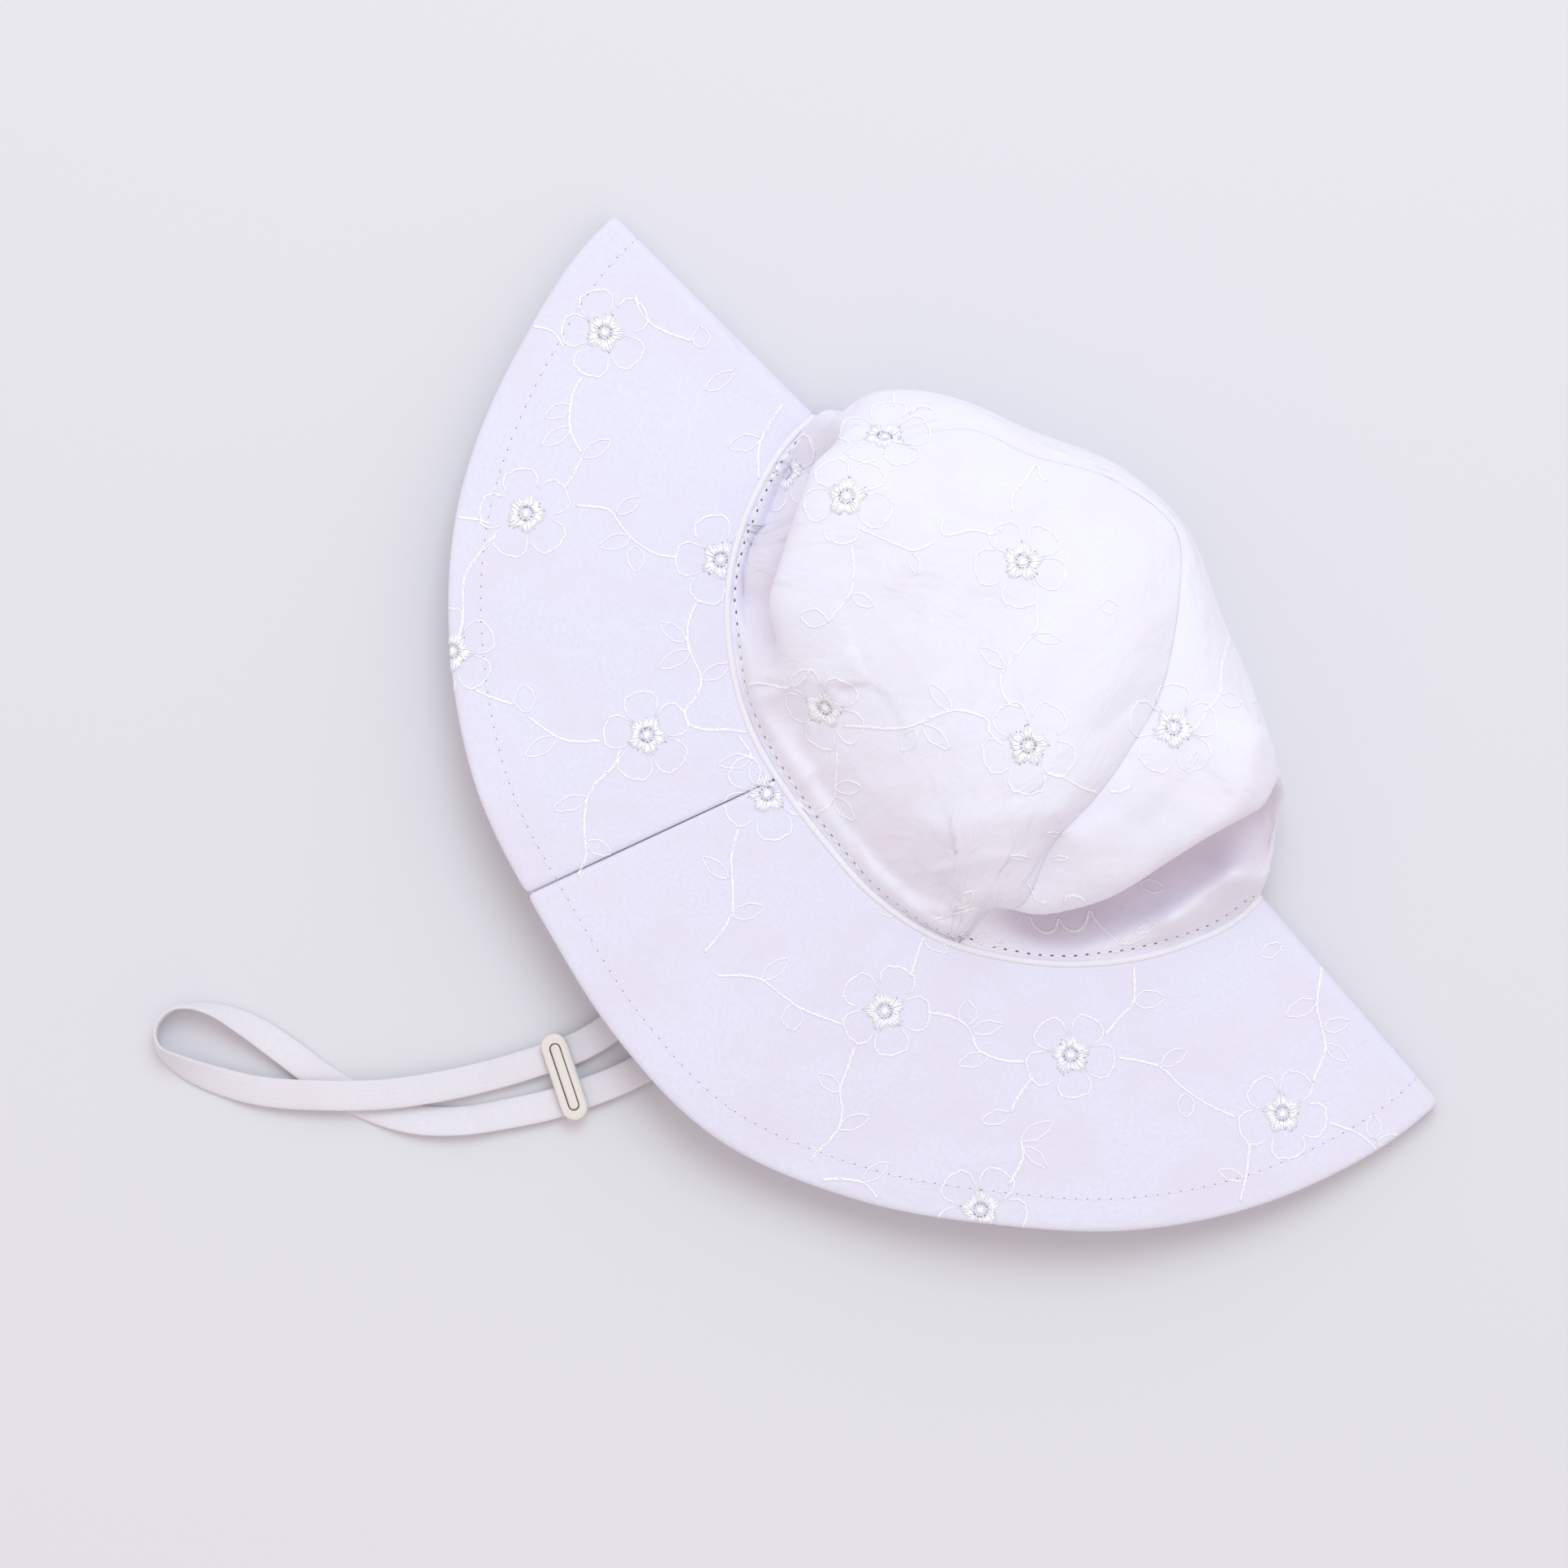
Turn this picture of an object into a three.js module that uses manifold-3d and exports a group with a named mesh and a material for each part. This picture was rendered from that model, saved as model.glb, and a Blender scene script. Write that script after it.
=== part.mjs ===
// Baby's cotton sun hat, folded in half and laid on its side, with its chin strap and slider.
// Millimetres, +Z up. The brim lies double: the far layer is flat on the surface, the near one above.
// +X runs from the front fold to the back fold, +Y from the brim to the top of the crown.
import * as THREE from 'three';
import { mergeVertices } from 'three/addons/utils/BufferGeometryUtils.js';
import Module from 'manifold-3d';

const manifoldLibrary = await Module();
manifoldLibrary.setup();

// Cut sizes of the hat
const headGirth = 480;
const brimWidth = 68;
const crownRise = 55.5;
const clothWall = 1.2;
const brimWall = 1.6;
const pipingWidth = 1.7;
const pipingHeight = 1.9;
const clearance = 0.3;

// How the hat lies: heights above the surface, the radii of its two folds, the size of the folds
// pressed into the crown, and the distances over which they and the walls turn into a seam
const domeHeight = 56;
const mouthRise = 12;
const brimLift = 13;
const seamFoldRadius = 4.6;
const edgeFoldRadius = 2.2;
const domeFullness = 0.24;
const domeShoulder = 2.6;
const foldOverhang = 2.4;
const foldSpread = 7;
const foldDepth = 9;
const valleySpread = 20;
const seamCalm = 12;
const seamReach = 5;

// Chin strap and its plastic slider
const strapWidth = 7.5;
const strapWall = 1.1;
const sliderLength = 22.3;
const sliderBreadth = 6.6;
const sliderHeight = 5.6;
const sliderFloor = 1.1;
const slotBreadth = 2.9;
const barHeight = 2;
const tunnelHeight = 2.2;
const sliderWallEnd = 1.2;
const sliderBevel = 0.8;

const seamRadius = headGirth / (2 * Math.PI);
const brimStart = pipingWidth / 2 + clearance;

// Round the half hat from the front fold (0) to the back fold (1): the seam's radius as a share
// of seamRadius, the brim's width as a share of brimWidth, and how far the near layer's seam and
// outer edge stand up, as shares of mouthRise and brimLift.
const halfRound = [
  { turn: 0.00, radius: 1.038, width: 1.033, mouth: 0.00, lift: 0.00 },
  { turn: 0.08, radius: 1.007, width: 1.019, mouth: 0.50, lift: 0.10 },
  { turn: 0.17, radius: 0.970, width: 1.024, mouth: 0.80, lift: 0.40 },
  { turn: 0.25, radius: 0.927, width: 1.017, mouth: 0.92, lift: 0.75 },
  { turn: 0.33, radius: 0.890, width: 1.008, mouth: 1.00, lift: 1.00 },
  { turn: 0.42, radius: 0.850, width: 0.994, mouth: 1.00, lift: 0.95 },
  { turn: 0.50, radius: 0.844, width: 1.030, mouth: 1.00, lift: 0.80 },
  { turn: 0.58, radius: 0.873, width: 1.045, mouth: 1.00, lift: 0.70 },
  { turn: 0.67, radius: 0.911, width: 0.991, mouth: 1.00, lift: 0.72 },
  { turn: 0.75, radius: 0.937, width: 0.965, mouth: 0.95, lift: 0.80 },
  { turn: 0.83, radius: 0.976, width: 0.985, mouth: 0.80, lift: 0.66 },
  { turn: 0.92, radius: 1.031, width: 0.995, mouth: 0.50, lift: 0.30 },
  { turn: 1.00, radius: 1.077, width: 0.990, mouth: 0.00, lift: 0.00 },
];

// Where the panels and the side seams meet the brim seam, on the near and on the far half
const nearPanel = { from: 0.111, to: 0.668, sideSeam: 0.40 };
const farPanel = { from: 0.335, to: 0.890, sideSeam: 0.61 };

// Along the centre panel from the front seam to the back seam: its near edge and its turn at the
// outline as x, y, z, and its far edge on the surface as x, y. These are shares: x of seamRadius,
// y of seamRadius below the fold lines and of crownRise above them, and z of domeHeight.
const strip = [
  { near: [-0.93, -0.34, 0.38], turn: [-1.04, 0.06, 0.10], far: [-0.45, -0.77] },
  { near: [-0.94, -0.07, 0.54], turn: [-1.02, 0.18, 0.26], far: [-0.54, -0.50] },
  { near: [-0.80, 0.21, 0.64], turn: [-0.97, 0.41, 0.33], far: [-0.58, -0.22] },
  { near: [-0.69, 0.53, 0.64], turn: [-0.79, 0.64, 0.36], far: [-0.54, 0.04] },
  { near: [-0.46, 0.69, 0.66], turn: [-0.55, 0.79, 0.37], far: [-0.41, 0.31] },
  { near: [-0.24, 0.89, 0.60], turn: [-0.26, 0.99, 0.36], far: [-0.18, 0.54] },
  { near: [0.03, 0.94, 0.60], turn: [0.04, 1.00, 0.36], far: [0.08, 0.65] },
  { near: [0.22, 0.72, 0.76], turn: [0.31, 0.86, 0.38], far: [0.35, 0.65] },
  { near: [0.36, 0.41, 0.88], turn: [0.61, 0.74, 0.38], far: [0.59, 0.54] },
  { near: [0.45, 0.05, 0.92], turn: [0.82, 0.59, 0.36], far: [0.76, 0.34] },
  { near: [0.51, -0.23, 0.86], turn: [0.94, 0.39, 0.32], far: [0.86, 0.09] },
  { near: [0.51, -0.50, 0.68], turn: [1.02, 0.22, 0.23], far: [0.93, -0.13] },
  { near: [0.48, -0.77, 0.38], turn: [1.07, 0.06, 0.10], far: [0.95, -0.35] },
];

// Where the puffed crown falls over its own lower edge: the crest of each fold, in the same shares
const crests = [
  { x0: -0.97, y0: 0.02, x1: -0.79, y1: -0.32, x2: -0.50, y2: -0.66, depth: 1.0 },
  { x0: 0.45, y0: -0.72, x1: 0.875, y1: -0.15, x2: 0.90, y2: 0.50, depth: 0.9 },
];

// Soft wrinkles on the upper side: a ridge or a dent from one place to another, with its height
// and its half width as shares of domeHeight
const wrinkles = [
  { x0: 0.84, y0: -0.33, x1: 0.98, y1: 0.24, height: 0.09, spread: 0.07 },
  { x0: 0.78, y0: 0.50, x1: 0.86, y1: -0.05, height: 0.06, spread: 0.08 },
  { x0: 0.72, y0: 0.30, x1: 0.74, y1: -0.10, height: -0.06, spread: 0.08 },
  { x0: -0.35, y0: -0.60, x1: 0.10, y1: -0.50, height: -0.09, spread: 0.12 },
  { x0: 0.12, y0: -0.70, x1: 0.34, y1: -0.42, height: -0.07, spread: 0.09 },
  { x0: 0.33, y0: 0.62, x1: 0.62, y1: 0.50, height: -0.06, spread: 0.07 },
];

// Chin strap: from the near side seam out between the brim layers, through the slider, round its
// loop, back under itself, through the slider and in to the far side seam. Millimetres from the
// middle of the fold lines.
const strapRoute = [
  [-21.5, -63.5, 20.0], [-19.5, -73, 17.6], [-15, -90, 11.6], [-9, -107, 6.4], [-4.4, -122, 3.8],
  [-3.2, -134, 2.9], [-5.2, -144, 2.3], [-7.2, -148.7, 2.2], [-9.4, -153.6, 2.2], [-14.8, -164.4, 2.6],
  [-21.4, -175.6, 3.2], [-29.2, -186.7, 3.4], [-39.2, -197.9, 3.3], [-50.6, -208.6, 2.6],
  [-60.9, -215.2, 1.8], [-69.4, -218.8, 1.6], [-75.6, -219.8, 1.6], [-79.8, -216.6, 1.6],
  [-80.4, -211, 1.6], [-77.6, -206.6, 1.6], [-72.4, -202.9, 1.4], [-64.4, -199.8, 1.0],
  [-54.1, -197.5, 0.8], [-43.1, -195.6, 0.7], [-30.2, -191.8, 0.7], [-19.6, -185.6, 0.8],
  [-11.3, -177.2, 1.2], [-4.3, -166.8, 1.8], [0.9, -158, 2.2], [3.0, -153.3, 2.2],
  [5.2, -148.4, 2.25], [8.2, -140.5, 2.6], [11.4, -128, 2.6], [16.4, -106, 2.6], [22.4, -83, 2.6],
  [26.6, -67.5, 2.6],
];
const sliderPlace = { x: -2.1, y: -151, turn: -0.427 };

// A smooth value along a table's rows, which are evenly spaced or placed by a column of their own
function track(table, valueOf, placeOf = (row, i) => i / (table.length - 1)) {
  const places = Float32Array.from(table, placeOf);
  const values = Float32Array.from(table, valueOf);
  const curve = new THREE.CubicInterpolant(places, values, 1);
  return share => curve.evaluate(share)[0];
}

const mix = THREE.MathUtils.lerp;
const ease = THREE.MathUtils.smoothstep;

// The hat's round at a distance outwards from the crown seam, at mid wall. round runs 0 to 1 up the
// front fold, 1 to 2 along the near half, 2 to 3 down the back fold and 3 to 4 back on the far half.
const seamShare = track(halfRound, row => row.radius, row => row.turn);
const widthShare = track(halfRound, row => row.width, row => row.turn);
const mouthShare = track(halfRound, row => row.mouth, row => row.turn);
const liftShare = track(halfRound, row => row.lift, row => row.turn);

function hatRound(round, outwards, wall) {
  const quarter = ((round % 4) + 4) % 4;
  const part = Math.floor(quarter);
  const along = quarter - part;
  const turn = [0, along, 1, 1 - along][part];
  const reach = outwards / (brimWidth * widthShare(turn));
  const fold = mix(seamFoldRadius, edgeFoldRadius, THREE.MathUtils.clamp(reach, 0, 1));
  const radius = seamRadius * seamShare(turn) + outwards;
  const angle = Math.PI * (1 + turn);
  const roll = Math.PI * (part === 0 ? along - 0.5 : part === 2 ? 0.5 - along : 0);
  const bulge = part % 2 ? 0 : fold * Math.cos(roll);
  const level = [fold * (1 + Math.sin(roll)), 2 * fold, fold * (1 + Math.sin(roll)), 0][part];
  const stands = mix(mouthRise * mouthShare(turn), brimLift * liftShare(turn), reach);
  return new THREE.Vector3(
    radius * Math.cos(angle),
    radius * Math.sin(angle) + bulge,
    wall / 2 + level + (part === 1 ? Math.max(stands, 0) : 0),
  );
}

const brimEdge = turn => brimWidth * widthShare(turn);
const turnOf = round => [0, round % 1, 1, 1 - (round % 1)][Math.floor(round) % 4];

// A closed wall from a grid of mid-wall points, thickness along the grid's own normals, or within
// seamReach of its first column along those of the seam that it shares there
function wallGeometry(rows, columns, pointAt, wall, seamNormal = null) {
  const grid = [];
  for (let i = 0; i <= rows; i += 1) {
    const line = [];
    for (let j = 0; j <= columns; j += 1) line.push(pointAt(i / rows, j / columns));
    grid.push(line);
  }
  const at = (i, j) => grid[THREE.MathUtils.clamp(i, 0, rows)][THREE.MathUtils.clamp(j, 0, columns)];
  const positions = [];
  for (const side of [0.5, -0.5]) {
    for (let i = 0; i <= rows; i += 1) {
      for (let j = 0; j <= columns; j += 1) {
        const along = at(i + 1, j).clone().sub(at(i - 1, j));
        const across = at(i, j + 1).clone().sub(at(i, j - 1));
        const normal = along.cross(across).normalize();
        const beside = seamNormal ? Math.max(0, 1 - at(i, j).distanceTo(at(i, 0)) / seamReach) : 0;
        if (beside > 0) normal.lerp(seamNormal(i / rows), beside).normalize();
        positions.push(...at(i, j).clone().addScaledVector(normal, side * wall).toArray());
      }
    }
  }
  const layer = (rows + 1) * (columns + 1);
  const vertex = (i, j, side) => side * layer + i * (columns + 1) + j;
  const faces = [];
  const quad = (a, b, c, d) => faces.push(a, b, c, a, c, d);
  for (let i = 0; i < rows; i += 1) {
    for (let j = 0; j < columns; j += 1) {
      quad(vertex(i, j, 0), vertex(i + 1, j, 0), vertex(i + 1, j + 1, 0), vertex(i, j + 1, 0));
      quad(vertex(i, j, 1), vertex(i, j + 1, 1), vertex(i + 1, j + 1, 1), vertex(i + 1, j, 1));
    }
  }
  for (let i = 0; i < rows; i += 1) {
    quad(vertex(i, 0, 0), vertex(i, 0, 1), vertex(i + 1, 0, 1), vertex(i + 1, 0, 0));
    quad(vertex(i, columns, 0), vertex(i + 1, columns, 0), vertex(i + 1, columns, 1), vertex(i, columns, 1));
  }
  for (let j = 0; j < columns; j += 1) {
    quad(vertex(0, j, 0), vertex(0, j + 1, 0), vertex(0, j + 1, 1), vertex(0, j, 1));
    quad(vertex(rows, j, 0), vertex(rows, j, 1), vertex(rows, j + 1, 1), vertex(rows, j + 1, 0));
  }
  return closedGeometry(positions, faces);
}

function closedGeometry(positions, faces) {
  const geometry = new THREE.BufferGeometry();
  geometry.setAttribute('position', new THREE.Float32BufferAttribute(positions, 3));
  geometry.setIndex(faces);
  geometry.computeVertexNormals();
  return geometry;
}

// A ring swept through a list of stations, each a loop of section points
function ringGeometry(stations) {
  const sides = stations[0].length;
  const positions = stations.flat().flatMap(point => point.toArray());
  const faces = [];
  stations.forEach((_, i) => {
    const next = (i + 1) % stations.length;
    for (let j = 0; j < sides; j += 1) {
      const k = (j + 1) % sides;
      const [a, b, c, d] = [i * sides + j, i * sides + k, next * sides + k, next * sides + j];
      faces.push(a, c, b, a, d, c);
    }
  });
  return closedGeometry(positions, faces);
}

const brimSteps = { round: 34, out: 6 };

// Brim halves: each runs from one side seam round a fold to the other side seam
function brimHalf(fromRound, toRound) {
  const pointAt = (along, out) => {
    const margin = clearance / (2 * seamRadius * Math.PI);
    const round = mix(fromRound + margin, toRound - margin, spreadRound(along, fromRound, toRound));
    const turn = turnOf(((round % 4) + 4) % 4);
    return hatRound(round, mix(brimStart, brimEdge(turn), out), brimWall);
  };
  return wallGeometry(brimSteps.round, brimSteps.out, pointAt, brimWall);
}

// Steps are shared out so that a fold's tight half circle gets its own closely set ones
const foldSteps = 0.22;

function spreadRound(along, fromRound, toRound) {
  const foldStart = Math.ceil(fromRound);
  const foldEnd = foldStart + 1;
  const span = toRound - fromRound;
  const before = (foldStart - fromRound) / span;
  const after = (foldEnd - fromRound) / span;
  const beforeSteps = (1 - foldSteps) * before / (before + 1 - after);
  if (along < beforeSteps) return before * along / beforeSteps;
  if (along < beforeSteps + foldSteps) return mix(before, after, (along - beforeSteps) / foldSteps);
  return mix(after, 1, (along - beforeSteps - foldSteps) / (1 - beforeSteps - foldSteps));
}

// Crown. Plan places come from shares, and every upper point is then pressed into the folds.
const planPoint = (x, y) => new THREE.Vector2(x * seamRadius, y < 0 ? y * seamRadius : y * crownRise);
const edgeTracks = edge => strip[0][edge].map((_, axis) => track(strip, row => row[edge][axis]));
const stripTracks = { near: edgeTracks('near'), turn: edgeTracks('turn'), far: edgeTracks('far') };

function stripEdge(edge, way) {
  const [x, y, z] = stripTracks[edge].map(value => value(way));
  const plan = planPoint(x, y);
  const height = edge === 'far' ? clothWall / 2 : domeHeight * z;
  return new THREE.Vector3(plan.x, plan.y, height);
}

// The seam's own line under the crown, at its clearance from the piping
const crownEdge = pipingWidth / 2 + clothWall / 2 + clearance;
const seamLine = round => hatRound(round, -crownEdge, clothWall);

// Round the brim seam across one end of the centre panel, from its near edge to its far edge
const endRounds = {
  front: { near: 1 + nearPanel.from, upper: 1, lower: 0, far: -farPanel.from },
  back: { near: 1 + nearPanel.to, upper: 2, lower: 3, far: 4 - farPanel.to },
};
const foldFrom = 0.44;
const foldTo = 0.56;

function endRound(end, across) {
  const { near, upper, lower, far } = endRounds[end];
  if (across < foldFrom) return mix(near, upper, across / foldFrom);
  if (across < foldTo) return mix(upper, lower, (across - foldFrom) / (foldTo - foldFrom));
  return mix(lower, far, (across - foldTo) / (1 - foldTo));
}

// Across the bag at one place along the centre panel: over the turn and down to the surface
const largestRoll = 0.5;

function bagSection(way, across) {
  const near = stripEdge('near', way);
  const turn = stripEdge('turn', way);
  const far = stripEdge('far', way);
  if (across <= 0.5) {
    const angle = across * Math.PI;
    const plan = near.clone().lerp(turn, Math.sin(angle));
    plan.z = mix(turn.z, near.z, Math.cos(angle));
    return plan;
  }
  const span = turn.distanceTo(far);
  const rolled = Math.min(largestRoll, turn.z / span);
  const share = (across - 0.5) * 2;
  const angle = Math.min(share / 0.5, 1) * Math.PI / 2;
  const travel = share < 0.5 ? rolled * (1 - Math.cos(angle)) : mix(rolled, 1, share * 2 - 1);
  const plan = turn.clone().lerp(far, travel);
  plan.z = share < 0.5 ? mix(turn.z, far.z, Math.sin(angle)) : far.z;
  return plan;
}

const endSpan = 0.14;
const upperSide = { full: 0.2, none: 0.5 };

function crownStrip(way, across) {
  const point = bagSection(way, across);
  const front = seamLine(endRound('front', across)).sub(bagSection(0, across));
  const back = seamLine(endRound('back', across)).sub(bagSection(1, across));
  point.addScaledVector(front, 1 - ease(way, 0, endSpan));
  point.addScaledVector(back, ease(way, 1 - endSpan, 1));
  const upper = 1 - ease(across, upperSide.full, upperSide.none);
  return press(point, upper * ease(way, 0, endSpan) * (1 - ease(way, 1 - endSpan / 2, 1)));
}

// Near side panel: straight rows from its arch to the seam, lifted into a dome
function nearPanelPoint(way, down) {
  const arch = crownStrip(way, 0);
  const foot = seamLine(1 + mix(nearPanel.from, nearPanel.to, way));
  const point = arch.clone().lerp(foot, down);
  const dome = 1 - Math.abs(2 * down - 1) ** domeShoulder;
  const length = arch.distanceTo(foot);
  point.z += domeFullness * length * dome;
  return press(point, Math.min(1, (1 - down) * length / seamCalm, down * length / seamCalm));
}

function farPanelPoint(way, down) {
  const arch = crownStrip(way, 1);
  const foot = seamLine(4 - mix(farPanel.from, farPanel.to, way));
  return arch.lerp(foot, down);
}

// Folds and wrinkles pressed into the upper side
const crestSteps = 16;
const crestEnds = 0.2;
const crestLines = crests.map(crest => {
  const curve = new THREE.QuadraticBezierCurve(
    new THREE.Vector2(crest.x0, crest.y0), new THREE.Vector2(crest.x1, crest.y1),
    new THREE.Vector2(crest.x2, crest.y2));
  const line = curve.getPoints(crestSteps).map(({ x, y }) => planPoint(x, y));
  return { line, depth: crest.depth };
});

// How far a place is inside a crest, its share along it, and the way out across it
function besideCrest(point, line) {
  const place = new THREE.Vector2(point.x, point.y);
  let nearest = { distance: Infinity };
  for (let i = 1; i < line.length; i += 1) {
    const step = line[i].clone().sub(line[i - 1]);
    const from = place.clone().sub(line[i - 1]);
    const part = THREE.MathUtils.clamp(from.dot(step) / step.lengthSq(), 0, 1);
    const offset = from.addScaledVector(step, -part);
    if (offset.length() < nearest.distance) {
      nearest = { distance: offset.length(), offset, step, share: (i - 1 + part) / (line.length - 1) };
    }
  }
  const out = new THREE.Vector2(nearest.step.y, -nearest.step.x).normalize();
  if (out.dot(place) < 0) out.negate();
  return { inside: -out.dot(nearest.offset), share: nearest.share, out };
}

function press(point, amount) {
  if (amount <= 0) return point;
  const moved = point.clone();
  for (const { line, depth } of crestLines) {
    const { inside, share, out } = besideCrest(point, line);
    const window = amount * depth * Math.min(1, share / crestEnds, (1 - share) / crestEnds);
    if (inside < 0) {
      moved.z -= window * foldDepth * Math.exp(-((inside / valleySpread) ** 2));
    } else {
      moved.z -= window * foldDepth * (1 - ease(inside, 0, foldSpread));
      const over = inside / foldSpread;
      const push = window * foldOverhang * over * Math.exp(1 - over);
      moved.x += out.x * push;
      moved.y += out.y * push;
    }
  }
  for (const wrinkle of wrinkles) {
    const a = planPoint(wrinkle.x0, wrinkle.y0);
    const b = planPoint(wrinkle.x1, wrinkle.y1);
    const line = b.clone().sub(a);
    const from = new THREE.Vector2(point.x, point.y).sub(a);
    const share = THREE.MathUtils.clamp(from.dot(line) / line.lengthSq(), 0, 1);
    const off = from.addScaledVector(line, -share).length() / (domeHeight * wrinkle.spread);
    moved.z += amount * domeHeight * wrinkle.height * Math.exp(-off * off);
  }
  return moved;
}

// Crown panels as walls, each held back by seamGap from the seam that it shares
const stripSteps = { way: 42, across: 20 };
const cornerSteps = 1;
const cornerShare = cornerSteps / stripSteps.way;
const nearSteps = { way: stripSteps.way - 2 * cornerSteps, down: 18 };
const farSteps = { way: nearSteps.way, down: 3 };

const seamGap = 0.7 * clearance;
const largestInset = 0.3;
const sectionSteps = 12;

function insetShare(length) {
  return Math.min(largestInset, seamGap / length);
}

function sectionLength(way) {
  let length = 0;
  for (let i = 1; i <= sectionSteps; i += 1) {
    length += crownStrip(way, (i - 1) / sectionSteps).distanceTo(crownStrip(way, i / sectionSteps));
  }
  return length;
}

// Outward normal of the near seam between the centre and side panels, shared by both walls
const slopeStep = 0.01;
const besideArch = { centre: 0.08, side: 0.06 };

function archNormal(way) {
  const inner = THREE.MathUtils.clamp(way, cornerShare, 1 - cornerShare);
  const next = crownStrip(Math.min(inner + slopeStep, 1), 0);
  const ahead = next.sub(crownStrip(Math.max(inner - slopeStep, 0), 0));
  const span = crownStrip(inner, besideArch.centre).sub(nearPanelPoint(inner, besideArch.side));
  return ahead.cross(span).normalize();
}

function centrePanel() {
  return wallGeometry(stripSteps.way, stripSteps.across, (way, across) => {
    const margin = insetShare(sectionLength(way));
    return crownStrip(way, mix(margin, 1 - margin, across));
  }, clothWall, archNormal);
}

const panelWay = (share, flip) => mix(cornerShare, 1 - cornerShare, flip ? 1 - share : share);

function sidePanel(pointAt, steps, flip, seamNormal) {
  return wallGeometry(steps.way, steps.down, (share, down) => {
    const way = panelWay(share, flip);
    const length = pointAt(way, 0).distanceTo(pointAt(way, 1));
    return pointAt(way, mix(insetShare(length), 1, down));
  }, clothWall, seamNormal);
}

// Piping: a narrow raised strip that lies in the crown seam all the way round. Its section has cut
// corners and is given as shares of its width and height.
const halfSection = [[0.5, 0.25], [0.5, -0.25], [0.25, -0.5], [-0.25, -0.5]];
const pipingSection = [...halfSection.map(([out, up]) => [-out, -up]), ...halfSection];
const pipingSteps = { fold: 6, half: 26 };
const pipingRounds = [0, 1, 2, 3].flatMap(part => {
  const steps = part % 2 ? pipingSteps.half : pipingSteps.fold;
  return Array.from({ length: steps }, (_, i) => part + i / steps);
});

function pipingStation(round) {
  const at = (step, outwards) => hatRound(round + step, outwards, pipingHeight);
  const outwards = at(0, pipingWidth).sub(at(0, -pipingWidth)).normalize();
  const up = at(slopeStep, 0).sub(at(-slopeStep, 0)).cross(outwards).normalize();
  return pipingSection.map(([out, over]) => at(0, 0)
    .addScaledVector(outwards, out * pipingWidth)
    .addScaledVector(up, over * pipingHeight));
}

// Strap: a flat tape along its route
const strapSteps = 64;
const strapEdgeSoftness = 0.6;

function strapGeometry() {
  const points = strapRoute.map(place => new THREE.Vector3(...place));
  const path = new THREE.CatmullRomCurve3(points, false, 'centripetal');
  const half = strapWidth / 2;
  const edge = strapWall / 2;
  const soft = edge * strapEdgeSoftness;
  const section = new THREE.Shape([
    new THREE.Vector2(half - soft, edge), new THREE.Vector2(soft - half, edge),
    new THREE.Vector2(-half, edge - soft), new THREE.Vector2(-half, soft - edge),
    new THREE.Vector2(soft - half, -edge), new THREE.Vector2(half - soft, -edge),
    new THREE.Vector2(half, soft - edge), new THREE.Vector2(half, edge - soft),
  ]);
  const options = { steps: strapSteps, bevelEnabled: false, extrudePath: path };
  return new THREE.ExtrudeGeometry(section, options);
}

// Slider body: a rounded plastic sleeve with a tunnel for both strands and a slot on top
function roundedOutline(length, breadth, segments) {
  const outline = [];
  const radius = breadth / 2;
  for (const end of [1, -1]) {
    for (let i = 0; i <= segments; i += 1) {
      const angle = end * Math.PI / 2 - Math.PI * i / segments;
      const middle = new THREE.Vector2(end * (length / 2 - radius), 0);
      outline.push(middle.add(new THREE.Vector2(Math.cos(angle), Math.sin(angle)).multiplyScalar(radius)));
    }
  }
  return outline;
}

const strapTunnel = sliderLength - 2 * sliderWallEnd;
const slotLength = strapTunnel - 2 * sliderWallEnd;
const roofBottom = sliderFloor + tunnelHeight;

function toSolid(geometry) {
  const bare = geometry.clone();
  bare.deleteAttribute('normal');
  bare.deleteAttribute('uv');
  const merged = mergeVertices(bare, 1e-4);
  const mesh = new manifoldLibrary.Mesh({
    numProp: 3,
    vertProperties: Float32Array.from(merged.attributes.position.array),
    triVerts: Uint32Array.from(merged.index.array),
  });
  return new manifoldLibrary.Manifold(mesh);
}

function toGeometry(solid) {
  const { vertProperties, triVerts } = solid.getMesh();
  return closedGeometry(Array.from(vertProperties), Array.from(triVerts));
}

const endSegments = 8;
const bevelSegments = 2;

function uprightPiece(length, breadth, bottom, top, bevel) {
  const shape = new THREE.Shape(roundedOutline(length - 2 * bevel, breadth - 2 * bevel, endSegments));
  const options = {
    depth: top - bottom - 2 * bevel, bevelEnabled: bevel > 0,
    bevelSize: bevel, bevelThickness: bevel, bevelSegments,
  };
  return new THREE.ExtrudeGeometry(shape, options).translate(0, 0, bottom + bevel);
}

function sliderBodyGeometry() {
  const sleeve = toSolid(uprightPiece(sliderLength, sliderBreadth, 0, sliderHeight, sliderBevel));
  const tunnel = new THREE.BoxGeometry(strapTunnel, 2 * sliderBreadth, tunnelHeight)
    .translate(0, 0, sliderFloor + tunnelHeight / 2);
  const slot = uprightPiece(slotLength, slotBreadth, roofBottom - clearance, sliderHeight + clearance, 0);
  return toGeometry(sleeve.subtract(toSolid(tunnel)).subtract(toSolid(slot)));
}

function sliderBarGeometry() {
  const length = slotLength - 2 * clearance;
  const breadth = slotBreadth - 2 * clearance;
  return uprightPiece(length, breadth, roofBottom, roofBottom + barHeight, sliderBevel / 2);
}

const hat = new THREE.Group();
const cloth = { colour: 0xece9f2, roughness: 0.9 };
const plastic = { colour: 0xece6d6, roughness: 0.35 };

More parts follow.
